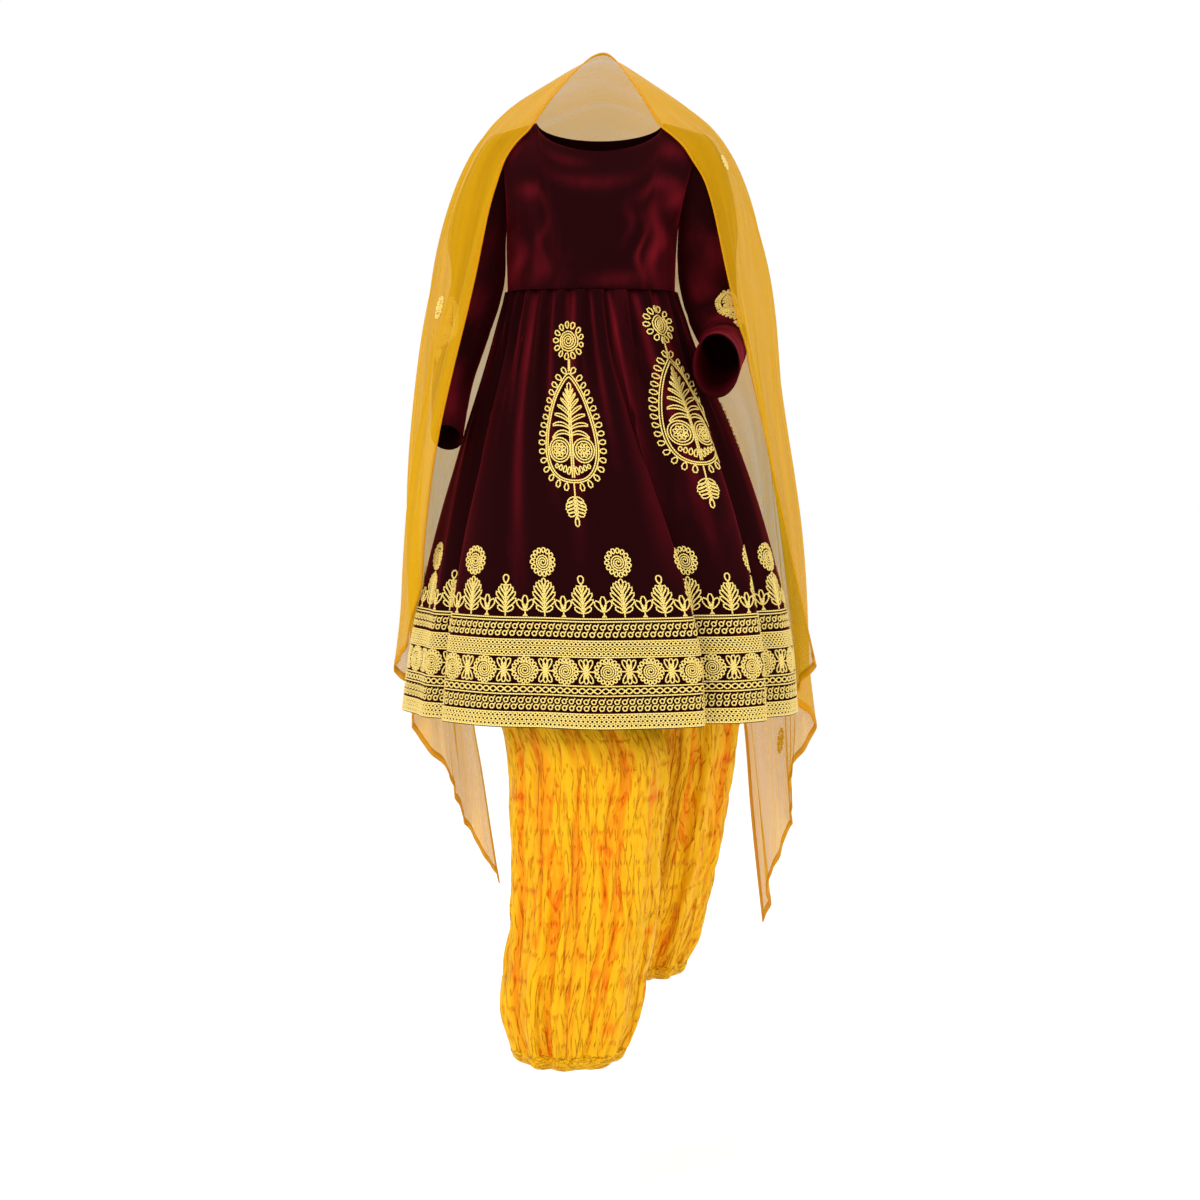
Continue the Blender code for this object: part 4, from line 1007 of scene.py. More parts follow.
def sew_cords(name, runs, material, half=CORD_HALF, high=0.85):
    """runs holds (points, normals, closed); all of them become one mesh."""
    verts, faces, charts, count = [], [], [], 0
    sides = 4
    angles = np.pi / 4 + np.arange(sides) * np.pi / 2
    for points, normals, closed in runs:
        n = len(points)
        if closed:
            way = np.roll(points, -1, axis=0) - np.roll(points, 1, axis=0)
        else:
            way = np.gradient(points, axis=0)
        way /= np.maximum(np.linalg.norm(way, axis=1, keepdims=True), 1e-9)
        across = np.cross(way, normals)
        across /= np.maximum(np.linalg.norm(across, axis=1, keepdims=True), 1e-9)
        ring = (
            points[:, None]
            + half * 1.1 * np.cos(angles)[None, :, None] * across[:, None]
            + half * high * 1.1 * np.sin(angles)[None, :, None] * normals[:, None]
        )
        verts.append(ring.reshape(-1, 3))
        first = np.arange(n if closed else n - 1)
        after = (first + 1) % n
        step = np.linalg.norm(points[after] - points[first], axis=1)
        start = np.concatenate([[0.0], np.cumsum(step)])[:-1]
        j = np.arange(sides)
        k = (j + 1) % sides
        quads = np.stack([
            count + first[:, None] * sides + j, count + after[:, None] * sides + j,
            count + after[:, None] * sides + k, count + first[:, None] * sides + k,
        ], axis=-1)
        u0 = np.repeat(start[:, None], sides, axis=1)
        u1 = u0 + step[:, None]
        v0 = np.repeat((j / sides)[None], len(first), axis=0)
        v1 = v0 + 1.0 / sides
        chart = np.stack([np.stack([u0, v0], -1), np.stack([u1, v0], -1), np.stack([u1, v1], -1),
                          np.stack([u0, v1], -1)], axis=2)
        faces.append(quads.reshape(-1, 4))
        charts.append(chart.reshape(-1, 4, 2))
        if not closed:
            ends = np.array([count + j, count + (n - 1) * sides + j[::-1]])
            faces.append(ends)
            charts.append(np.zeros((2, 4, 2)))
        count += n * sides
    faces = np.concatenate(faces)
    data = bpy.data.meshes.new(name)
    data.from_pydata(np.concatenate(verts).tolist(), [], faces.tolist())
    data.uv_layers.new(name="cloth").data.foreach_set("uv", np.concatenate(charts).reshape(-1))
    data.shade_smooth()
    data.materials.append(material)
    piece = bpy.data.objects.new(name, data)
    bpy.context.scene.collection.objects.link(piece)
    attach(piece, "root")
    print(name, len(runs), "cords,", len(faces) * 2, "triangles")
    return piece


# %% Carry drawn lines onto a cloth
def stitched(runs, skin, lift=0.0014):
    """Carries runs of (turn, drop, closed) onto a cloth in one call of its surface."""
    turn = np.concatenate([run[0] for run in runs])
    drop = np.concatenate([run[1] for run in runs])
    spots, normals = skin(turn, drop, lift)
    ends = np.cumsum([len(run[0]) for run in runs])
    laid = zip(np.split(spots, ends[:-1]), np.split(normals, ends[:-1]), runs)
    return [(points, ups, run[2]) for points, ups, run in laid]


def repeat_on_skirt(motif, turns, drop):
    """Copies of a motif, drawn in millimetres with +Y up, at the given turns and one drop."""
    flat = np.concatenate([points for points, _ in motif]) * 0.001
    x = np.tile(flat[:, 0], len(turns))
    y = np.tile(flat[:, 1], len(turns))
    place = np.clip(drop - y / SLANT, 0.022, 0.998)
    turn = along_cloth(np.repeat(turns, len(flat)), place, x)
    ends = np.cumsum([len(points) for points, _ in motif] * len(turns))
    shut = [closed for _, closed in motif] * len(turns)
    return list(zip(np.split(turn, ends[:-1]), np.split(place, ends[:-1]), shut))


# %% The strokes that the motifs are drawn with
def petal(x, y, angle, long, wide, points=8):
    """A closed loop that starts at x, y and points the given way, in degrees from +X."""
    phase = np.linspace(0.0, 2.0 * np.pi, points, endpoint=False)
    out = long * (1.0 - np.cos(phase)) / 2.0
    side = wide / 2.0 * np.sin(phase) * (0.55 + 0.45 * np.sin(phase / 2.0) ** 2) * 1.15
    a = np.radians(angle)
    across = x + out * np.cos(a) - side * np.sin(a)
    return np.stack([across, y + out * np.sin(a) + side * np.cos(a)], -1), True


def spiral(x, y, inner, outer, pitch, start=0.0):
    """A run that winds outward, one pitch wider at each turn."""
    turns = (outer - inner) / pitch
    phase = np.linspace(0.0, 2.0 * np.pi * turns, max(8, int(turns * 11)))
    radius = inner + pitch * phase / (2.0 * np.pi)
    a = np.radians(start) + phase
    return np.stack([x + radius * np.cos(a), y + radius * np.sin(a)], -1), False


def ring(x, y, radius, points=12):
    a = np.linspace(0.0, 2.0 * np.pi, points, endpoint=False)
    return np.stack([x + radius * np.cos(a), y + radius * np.sin(a)], -1), True


def stroke(*corners, step=4.0):
    """A run of straight pieces through the corners, with points a step apart."""
    corners = np.array(corners, float)
    lengths = np.concatenate([[0.0], np.cumsum(np.linalg.norm(np.diff(corners, axis=0), axis=1))])
    at = np.linspace(0.0, lengths[-1], max(2, int(round(lengths[-1] / step)) + 1))
    return np.stack([np.interp(at, lengths, corners[:, 0]), np.interp(at, lengths, corners[:, 1])], -1), False


CORE_START = 1.4
CORE_PITCH = 3.3


def rosette(x, y, core, outer, petals, wide, start=0.0):
    """A spiral with a ring of loops round it."""
    drawn = [spiral(x, y, CORE_START, core, CORE_PITCH, start)]
    for k in range(petals):
        angle = start + 360.0 * (k + 0.5) / petals
        a = np.radians(angle)
        foot = core + 0.6
        drawn.append(petal(x + foot * np.cos(a), y + foot * np.sin(a), angle, outer - core, wide, 7))
    return drawn


# %% [markdown]
# ### The border
# The border is read from the hem up: a line at the very edge, a braid, a line, two rows of small
# rings, a line, a crossed wave, a line, the wide band with rosettes and six-looped leaves, a line,
# a second braid, a line, two more rows of rings and a double line. Plants stand on it: tall ones
# with a rosette, middle ones with a bud, and three-looped sprigs between them.

# %% The border's heights over the hem, in metres
EDGE_LINE = 0.0012
LINES = [0.0215, 0.0480, 0.0620, 0.1040, 0.1270, 0.1550, 0.1592]
LINE_STEP = 0.0055              # from one point of a cord to the next
WAVE_STEP = 0.0022
BRAID_STEP = 0.0019
RING_ROWS = [
    # height, shift in ring pitches
    (0.0296, 0.00), (0.0392, 0.45), (0.1362, 0.00), (0.1466, 0.45),
]
RING_PITCH = 0.0108
RING_HALF = 0.0033
BRAIDS = [
    # lowest row, highest row, rows
    (0.0048, 0.0172, 3), (0.1088, 0.1224, 3),
]
BRAID_PITCH = 0.0130
BRAID_SWING = 0.0028
WAVE_HEIGHT = 0.0550
WAVE_PITCH = 0.0220
WAVE_SWING = 0.0037
BAND_HEIGHT = 0.0830
BAND_PITCH = 0.0610
PLANT_FOOT = 0.1610
PLANT_WAIST = 0.19              # the height at which the plants are counted
PLANT_PITCH = 0.1120
PLANT_RISE = 1.12


# %% Lines and waves round the skirt
def drop_at(height):
    return 1.0 - height / SLANT


def round_run(height, step, swing=0.0, pitch=1.0, phase=0.0):
    """A line, or a wave, all the way round the skirt."""
    length = round_length(drop_at(height))
    waves = max(1, int(round(length / pitch)))
    count = int(round(length / step))
    if swing:
        count = waves * max(6, int(round(pitch / step)))
    turn = even_turns(drop_at(height), count)
    lift = swing * np.sin(2.0 * np.pi * (waves * np.arange(count) / count + phase))
    return turn, drop_at(height + lift) * np.ones(count), True


# %% Sew the border's lines and waves
lines = [round_run(height, LINE_STEP) for height in LINES + [EDGE_LINE]]
sew_cords("cord_border_lines", stitched(lines, skirt_skin), GOLD_CORD)

waves = [round_run(WAVE_HEIGHT, WAVE_STEP, WAVE_SWING, WAVE_PITCH, phase) for phase in (0.0, 0.5)]
sew_cords("cord_border_wave", stitched(waves, skirt_skin), GOLD_CORD)


# %% Sew the border's braids and rings
braids = []
for low, high, rows in BRAIDS:
    for k, height in enumerate(np.linspace(low, high, rows)):
        for phase in (0.25 * k, 0.25 * k + 0.5):
            braids.append(round_run(height, BRAID_STEP, BRAID_SWING, BRAID_PITCH, phase))
sew_cords("cord_border_braid", stitched(braids, skirt_skin), GOLD_CORD, half=0.00108)

rings = []
for height, shift in RING_ROWS:
    drop = drop_at(height)
    count = int(round(round_length(drop) / RING_PITCH))
    small = [ring(0.0, 0.0, RING_HALF * 1000.0, 9), stroke((2.2, 2.3), (4.6, 3.4), (5.4, 5.4), step=2.0)]
    rings += repeat_on_skirt(small, even_turns(drop, count, shift), drop)
sew_cords("cord_border_rings", stitched(rings, skirt_skin), GOLD_CORD, half=0.00115)


# %% The wide band's rosettes and six-looped leaves
band_drop = drop_at(BAND_HEIGHT)
BAND_COUNT = int(round(round_length(band_drop) / BAND_PITCH))
band_rosette = rosette(0.0, 0.0, 12.4, 18.6, 17, 5.6)
band_leaf = [stroke((-15.0, 0.5), (15.0, -0.5))]
for angle, long in ((62, 19), (90, 18), (118, 19), (-62, 19), (-90, 18), (-118, 19)):
    band_leaf.append(petal(0.0, 0.0, angle, long, 7.2, 9))
wide_band = repeat_on_skirt(band_rosette, even_turns(band_drop, BAND_COUNT, 0.1), band_drop)
wide_band += repeat_on_skirt(band_leaf, even_turns(band_drop, BAND_COUNT, 0.6), band_drop)
sew_cords("cord_wide_band", stitched(wide_band, skirt_skin), GOLD_CORD)


# %% The plants that stand on the border
def leaf_fan(pairs, tip):
    """A stem with pairs of loops that climb it, as (height, lean, length), and a loop at its tip."""
    drawn = [stroke((0.0, 0.0), (0.0, tip[0]))]
    for y, lean, long in pairs:
        drawn.append(petal(0.8, y, 90.0 - lean, long, 6.2, 8))
        drawn.append(petal(-0.8, y, 90.0 + lean, long, 6.2, 8))
    drawn.append(petal(0.0, tip[0], 90.0, tip[1], 6.4, 8))
    return drawn


TALL_PAIRS = [
    # height on the stem, lean in degrees, length
    (6.5, 60, 13.5), (11.0, 52, 19.5), (16.5, 46, 22.5), (22.5, 40, 22.0), (28.5, 33, 19.0),
    (34.0, 25, 14.0),
]
MIDDLE_PAIRS = [
    (6.0, 58, 13.0), (11.0, 50, 19.0), (17.0, 43, 20.0), (23.5, 35, 17.0), (29.5, 27, 13.0),
]
tall_plant = leaf_fan(TALL_PAIRS, (38.0, 12.0)) + rosette(0.0, 71.0, 11.6, 18.2, 15, 5.8)
middle_plant = leaf_fan(MIDDLE_PAIRS, (33.0, 9.0)) + [stroke((0.0, 38.0), (0.0, 45.0))]
middle_plant += [petal(0.0, 43.0, 90.0, 11.0, 9.0, 9)]
sprig = [stroke((0.0, 0.0), (0.0, 9.0)), stroke((-3.0, 0.0), (0.0, 4.0), (3.0, 0.0))]
for angle, long in ((90, 20), (50, 18), (130, 18)):
    sprig.append(petal(0.0, 7.5, angle, long, 8.6, 9))
tall_plant, middle_plant, sprig = (
    [(points * (1.0, PLANT_RISE), closed) for points, closed in drawn]
    for drawn in (tall_plant, middle_plant, sprig)
)
PLANTS = int(round(round_length(drop_at(PLANT_WAIST)) / PLANT_PITCH))
foot = drop_at(PLANT_FOOT)
plants = repeat_on_skirt(tall_plant, even_turns(foot, PLANTS, 0.55), foot)
plants += repeat_on_skirt(middle_plant, even_turns(foot, PLANTS, 0.05), foot)
plants += repeat_on_skirt(sprig, even_turns(foot, 2 * PLANTS, 0.60), foot)
sew_cords("cord_plants", stitched(plants, skirt_skin), GOLD_CORD)


# %% [markdown]
# ### The tall motifs
# Between waist and border hang tall motifs: a rosette on a stem, a drop with a double outline and
# a fringe of loops, a stem inside it with curved fronds, two curled rounds with small flowers, and
# a leaf below. The drop's half width is one curve, and the fringe is set square to it.

# %% Draw the tall motif
DROP_LONG = 138.0
DROP_HALF = 39.0


def drop_outline(share, inset=0.0):
    """The right half of the drop, from its tip (0) to its foot (1), in millimetres below the tip."""
    width = (DROP_HALF - inset) * np.sin(np.pi * np.clip(share, 0, 1) ** 1.45) ** 0.92
    y = -inset * 1.4 - (DROP_LONG - 2.2 * inset) * (1.0 - np.cos(np.pi * share)) / 2.0
    return width, y


def frond(y, lean, long, droop, side):
    """A long narrow loop that leaves the stem upward and bends outward."""
    t = np.linspace(0.0, 1.0, 7)
    a = np.radians(lean)
    x_mid = long * t * np.cos(a)
    y_mid = y + long * t * np.sin(a) - droop * t**2
    half = 2.1 * np.sin(np.pi * np.clip(t, 0.04, 0.96)) ** 0.4
    upper = np.stack([x_mid, y_mid + half], -1)
    lower = np.stack([x_mid, y_mid - half], -1)[::-1]
    outline = np.concatenate([upper, lower])
    outline[:, 0] *= side
    return outline, True


# %% The rosette, the drop's two outlines and its fringe
tall_motif = rosette(0.0, 42.0, 15.0, 24.0, 13, 6.6)
tall_motif += [stroke((0.0, 18.0), (0.0, 2.0)), stroke((1.6, 18.0), (1.6, 3.0))]
share = np.linspace(0.0, 1.0, 28)
for inset in (0.0, 3.4):
    width, y = drop_outline(share, inset)
    right = np.stack([width, y], -1)
    left = np.stack([-width, y], -1)[::-1][1:-1]
    tall_motif.append((np.concatenate([right, left]), True))
width, y = drop_outline(np.linspace(0.035, 0.965, 200))
lengths = np.concatenate([[0.0], np.cumsum(np.hypot(np.diff(width), np.diff(y)))])
FRINGE_GAP = 1.2                # from the outline to a loop's foot
for at in np.linspace(2.0, lengths[-1] - 3.0, 16):
    x0, y0 = np.interp(at, lengths, width), np.interp(at, lengths, y)
    x1, y1 = np.interp(at + 1.0, lengths, width), np.interp(at + 1.0, lengths, y)
    outward = np.degrees(np.arctan2(y1 - y0, x1 - x0)) + 90.0
    foot_x = x0 + FRINGE_GAP * np.cos(np.radians(outward))
    foot_y = y0 + FRINGE_GAP * np.sin(np.radians(outward))
    tall_motif.append(petal(foot_x, foot_y, outward, 10.0, 6.8, 7))
    tall_motif.append(petal(-foot_x, foot_y, 180.0 - outward, 10.0, 6.8, 7))


# %% The stem, the fronds and the two curled rounds
tall_motif += [stroke((-1.4, -22.0), (-1.4, -132.0)), stroke((1.4, -22.0), (1.4, -132.0))]
tall_motif.append(petal(0.0, -24.0, 90.0, 12.0, 6.4, 8))
FRONDS = [
    # height on the stem, lean in degrees, length, droop
    (-31.0, 62, 12.0, 0.0), (-38.5, 56, 16.0, 0.5), (-46.0, 51, 20.0, 2.0), (-54.0, 47, 24.5, 5.0),
    (-62.5, 43, 29.0, 9.5), (-71.0, 40, 33.0, 16.0), (-79.0, 38, 34.0, 24.0),
]
for y, lean, long, droop in FRONDS:
    tall_motif += [frond(y, lean, long, droop, 1), frond(y, lean, long, droop, -1)]
ROUND_X = 17.5
ROUND_Y = -97.0
BLOOM_LOOPS = 8
BLOOM_CORE = 3.6
for side in (-1, 1):
    x = side * ROUND_X
    tall_motif += [ring(x, ROUND_Y, 15.4, 20), ring(x, ROUND_Y, 11.8, 18), spiral(x, ROUND_Y, 0.9, 3.4, 2.4)]
    for k in range(BLOOM_LOOPS):
        a = 360.0 * k / BLOOM_LOOPS + 20.0
        foot_x = x + BLOOM_CORE * np.cos(np.radians(a))
        foot_y = ROUND_Y + BLOOM_CORE * np.sin(np.radians(a))
        tall_motif.append(petal(foot_x, foot_y, a, 5.6, 4.6, 6))
    for k in range(4):
        angle = -72.0 if side > 0 else -108.0
        tall_motif.append(petal(side * (4.0 + 6.0 * k), -118.0 + 1.2 * k, angle, 10.5 - 1.6 * k, 5.0, 7))


# %% The leaf below the drop
tall_motif.append(stroke((0.0, -139.0), (0.0, -160.0)))
for k, (lean, long) in enumerate(((38, 13), (46, 15), (52, 15), (56, 13), (62, 11))):
    y = -156.0 - 5.2 * k
    tall_motif.append(petal(0.6, y, -90.0 + lean + 18, long, 6.0, 8))
    tall_motif.append(petal(-0.6, y, -90.0 - lean - 18, long, 6.0, 8))
tall_motif.append(petal(0.0, -180.0, -90.0, 13.0, 6.4, 8))
tall_motif.append(stroke((0.0, -156.0), (0.0, -184.0)))
print("runs of cord in a tall motif", len(tall_motif))


# %% Place the tall motifs
MOTIFS = [
    # turn in degrees at the drop's tip, the drop's place down the skirt, how much the cloth is stretched
    (-3.5, 0.196, 1.00), (42.0, 0.157, 1.22), (100.0, 0.190, 1.00), (146.0, 0.200, 1.00),
    (-164.0, 0.190, 1.00),
    (-110.0, 0.195, 1.00),
]
TALL_RISE = 1.17                # the motifs are drawn longer than wide
tall = []
for degrees, drop, stretch in MOTIFS:
    drawn = [(points * (stretch, TALL_RISE), closed) for points, closed in tall_motif]
    tall += repeat_on_skirt(drawn, np.array([degrees / 360.0]), drop)
sew_cords("cord_tall_motifs", stitched(tall, skirt_skin), GOLD_CORD)


# %% The sleeves' motif
SLEEVE_RADIUS = 0.043
SLEEVE_LENGTH = 0.335


def lay_on_sleeve(motif, turn, along):
    """A motif on a sleeve, measured out round the arm and down it."""
    return [
        (turn + points[:, 0] * 0.001 / SLEEVE_RADIUS, along - points[:, 1] * 0.001 / SLEEVE_LENGTH, closed)
        for points, closed in motif
    ]


ROSETTE_STROKES = 16            # the tall motif's rosette and its stem come first in the list
small_drop = [
    (points * (0.58, 0.56) + (0.0, 42.0), closed) for points, closed in tall_motif[ROSETTE_STROKES:]
]
SLEEVE_MOTIFS = [
    # name, side, turn in radians, place down the arm
    ("cord_sleeve_right", -1, 5.60, 0.44), ("cord_sleeve_left", 1, 5.30, 0.39),
]
for name, side, turn, along in SLEEVE_MOTIFS:

    def skin(t, a, lift, side=side):
        return sleeve_skin(t, np.clip(a, -0.9, 0.99), side, lift)

    sew_cords(name, stitched(lay_on_sleeve(small_drop, turn, along), skin), GOLD_CORD, half=0.0010)


# %% [markdown]
# ## The hem's piping
# The skirt's lower edge is bound with a dark cord, which shows as a thin line under the gold.
# It runs round the hem in one closed run, like the border's lines.

# %% Hem piping
turn, drop, shut = round_run(0.0008, 0.0050)
sew_cords("hem_piping", stitched([(turn, np.full(len(turn), 0.999), shut)], skirt_skin, -0.0006), DARK_PIPING,
          half=0.0021, high=1.0)


# %% [markdown]
# ## The trousers
# The legs are wide balloons of crushed satin. Crushing leaves soft puffs with narrow valleys that
# wander down the leg, so the relief is smooth noise on a lattice much longer than it is wide, folded
# where it crosses its middle value, in three sizes. It is seeded, so it's the same on every run. The
# large folds that the photograph shows are listed and laid on top, and the lower edge is gathered and
# tucked in.

# %% The trousers' sizes
CROTCH_Z = -0.660
TROUSER_TOP_Z = -0.288
TROUSER_ROWS = {
    -1: [
        # x, y, z, half_width, half_depth
        (-0.1080, -0.012, -0.660, 0.1040, 0.114), (-0.0880, -0.062, -0.780, 0.1030, 0.102),
        (-0.0190, -0.100, -0.920, 0.1140, 0.096), (-0.0210, -0.103, -1.030, 0.1090, 0.100),
        (-0.0240, -0.102, -1.140, 0.1040, 0.100), (-0.0360, -0.100, -1.240, 0.1000, 0.098),
        (-0.0440, -0.100, -1.310, 0.0950, 0.092), (-0.0470, -0.100, -1.358, 0.0790, 0.078),
    ],
    1: [
        (0.1140, 0.012, -0.660, 0.1060, 0.114), (0.1180, 0.058, -0.780, 0.1000, 0.098),
        (0.1120, 0.110, -0.920, 0.0980, 0.098), (0.0970, 0.138, -1.075, 0.0940, 0.098),
        (0.0790, 0.158, -1.185, 0.0880, 0.092), (0.0700, 0.170, -1.250, 0.0820, 0.084),
        (0.0650, 0.176, -1.290, 0.0680, 0.070),
    ],
}
HIP_ROWS = [
    # z, half_width, half_depth
    (-0.288, 0.122, 0.088), (-0.420, 0.146, 0.110), (-0.560, 0.180, 0.126), (-0.660, 0.208, 0.118),
]
ANKLE_HALF = 0.044
TUCK_DROP = 0.024
TUCK_RISE = 0.020
LEG_WAVES = 9
LEG_WAVE_DEPTH = 0.0050
LEG_POWER = 2.2                 # a little squarer than a circle
ANKLE_GATHERS = 9
ANKLE_GATHER_DEPTH = 0.0045
CRUSH_SIZES = [
    # cells round, cells down, depth in mm, seed
    (20, 5, 8.0, 11), (44, 12, 6.5, 12), (84, 30, 3.6, 13),
]
LEG_FOLDS = {
    -1: [
        # turn, first down, last down, half width in turns, depth in mm, drift in turns
        (0.16, 1.20, 2.05, 0.010, 7.0, 0.015), (0.215, 1.45, 2.00, 0.007, 5.0, -0.012),
        (0.262, 1.15, 1.75, 0.008, 6.0, 0.010), (0.305, 1.50, 2.10, 0.008, 6.0, 0.006),
        (0.352, 1.10, 1.85, 0.011, 8.0, -0.010), (0.405, 1.30, 2.05, 0.008, 6.0, 0.012),
        (0.455, 1.15, 1.90, 0.010, 7.0, 0.008), (0.60, 1.10, 1.80, 0.010, 7.0, 0.012),
        (0.68, 1.35, 2.05, 0.009, 6.0, -0.010), (0.77, 1.15, 1.95, 0.010, 7.0, 0.008),
        (0.88, 1.3, 2.0, 0.009, 6.0, 0.01),
    ],
    1: [
        (0.10, 1.20, 2.00, 0.010, 7.0, 0.012), (0.165, 1.15, 1.80, 0.009, 7.0, 0.010),
        (0.225, 1.35, 2.05, 0.008, 6.0, -0.012), (0.29, 1.10, 1.75, 0.010, 8.0, 0.014),
        (0.35, 1.30, 2.00, 0.008, 6.0, 0.010), (0.42, 1.15, 1.90, 0.010, 7.0, -0.008),
        (0.58, 1.10, 1.85, 0.010, 7.0, 0.010), (0.67, 1.30, 2.00, 0.009, 6.0, -0.012),
        (0.76, 1.15, 1.80, 0.010, 7.0, 0.010), (0.87, 1.35, 2.05, 0.009, 6.0, 0.008),
    ],
}


# %% The leg's surface
def leg_point(turn, down, side):
    """A point of a trouser leg; turn is 0 at the centre front or inseam, 0.5 at the outer side. down is
    0 at the waist, 1 at the crotch, 2 at the last ring and 3 at the gathered ankle edge, tucked inside."""
    turn, down = np.broadcast_arrays(np.asarray(turn, float), np.asarray(down, float))
    angle = 2.0 * np.pi * turn
    read, _ = tube_frames(TROUSER_ROWS[side], np.clip(down - 1.0, 0.0, 1.0))
    centre_x, centre_y, ring_z, half_width, half_depth = np.moveaxis(read, -1, 0)
    powers = np.abs(np.cos(angle)) ** LEG_POWER + np.abs(np.sin(angle)) ** LEG_POWER
    round_off = 1.0 / powers ** (1.0 / LEG_POWER)
    tuck = np.clip(down - 2.0, 0.0, 1.0)
    curl = np.pi * tuck
    ankle = (1.0 - np.cos(curl)) / 2.0
    half_width = half_width + (ANKLE_HALF - half_width) * ankle
    half_depth = half_depth + (ANKLE_HALF - half_depth) * ankle
    ring_z = ring_z - TUCK_DROP * np.sin(curl) + TUCK_RISE * smooth_step((tuck - 0.5) * 2.0)
    wave = LEG_WAVE_DEPTH * smooth_step(down - 0.6) * np.sin(LEG_WAVES * angle + 2.2 * np.sin(3.0 * angle))
    gather = ANKLE_GATHER_DEPTH * smooth_step((down - 1.7) / 0.3) * np.sin(ANKLE_GATHERS * angle)
    swell = (wave * (1.0 - ankle) + gather * (1.0 - 0.55 * ankle)) / np.maximum(half_width, 0.03)
    leg = np.stack([
        centre_x - side * half_width * np.cos(angle) * round_off * (1.0 + swell),
        centre_y - half_depth * np.sin(angle) * round_off * (1.0 + swell),
        ring_z,
    ], axis=-1)
    hip_z = TROUSER_TOP_Z + (CROTCH_Z - TROUSER_TOP_Z) * np.clip(down, 0.0, 1.0)
    hips = through_rows(-columns(HIP_ROWS, 0)[:, 0], columns(HIP_ROWS, 1, 2), -hip_z)
    half_turn = np.pi * (turn - 0.5)
    hip = np.stack([
        LEAN + side * (SEAM_GAP / 2.0 + hips[..., 0] * np.cos(half_turn)),
        hips[..., 1] * np.sin(half_turn),
        hip_z,
    ], axis=-1)
    join = smooth_step(np.clip(down, 0.0, 1.0) ** 1.6)[..., None]
    upper = hip * (1.0 - join) + leg * join
    return np.where((down < 1.0)[..., None], upper, leg)


# %% The crush
PUFF_POWER = 0.65               # below 1, so the valleys are narrower than the puffs
PUFF_MIDDLE = 0.50
SLIP_ROWS = 2.4                 # how far neighbouring columns slide past one another, in rows
BEND_CELLS = 0.9                # how far a column wanders sideways, in cells


def lattice_noise(u, v, across, down, seed):
    """Smooth noise from 0 to 1 on a lattice that repeats round the leg; u and v run from 0 to 1."""
    values = np.random.default_rng(seed).random((down + 2, across))
    x, y = u * across, v * down
    i, j = np.floor(x).astype(int), np.clip(np.floor(y).astype(int), 0, down)
    fx, fy = smooth_step(x - i), smooth_step(y - j)
    low = values[j, i % across] * (1 - fx) + values[j, (i + 1) % across] * fx
    high = values[j + 1, i % across] * (1 - fx) + values[j + 1, (i + 1) % across] * fx
    return low * (1 - fy) + high * fy


def crush(turn, down, side):
    """The crushed relief, out being positive, in metres."""
    u = turn % 1.0
    v = np.clip((down - 0.9) / 2.1, 0.0, 1.0)
    relief = np.zeros_like(u)
    for across, rows, depth, seed in CRUSH_SIZES:
        slip = lattice_noise(u, v, across, 2, seed + 80 + side) - 0.5
        slid = np.clip(v + SLIP_ROWS * slip / rows, 0.0, 1.0)
        bend = lattice_noise(u, slid, across, rows * 2, seed + 40 + side) - 0.5
        level = lattice_noise(u + BEND_CELLS * bend / across, slid, across, rows, seed + side)
        puff = np.abs(2.0 * level - 1.0) ** PUFF_POWER
        relief += depth * 0.001 * (puff - PUFF_MIDDLE)
    for middle, first, last, half, depth, drift in LEG_FOLDS[side]:
        share = np.clip((down - first) / (last - first), 0.0, 1.0)
        off = ((u - middle - drift * np.sin(3.2 * share) + 0.5) % 1.0 - 0.5) / half
        fade = smooth_step((down - first) / 0.18) * smooth_step((last - down) / 0.14)
        relief -= depth * 0.001 * np.exp(-np.abs(off) ** 1.4) * fade
    seam = 1.0 - np.exp(-(((u + 0.5) % 1.0 - 0.5) / 0.01) ** 2)
    calm = smooth_step((down - 1.0) / 0.12) * (1.0 - 0.90 * smooth_step((down - 1.94) / 0.30))
    return relief * calm * (0.3 + 0.7 * seam)


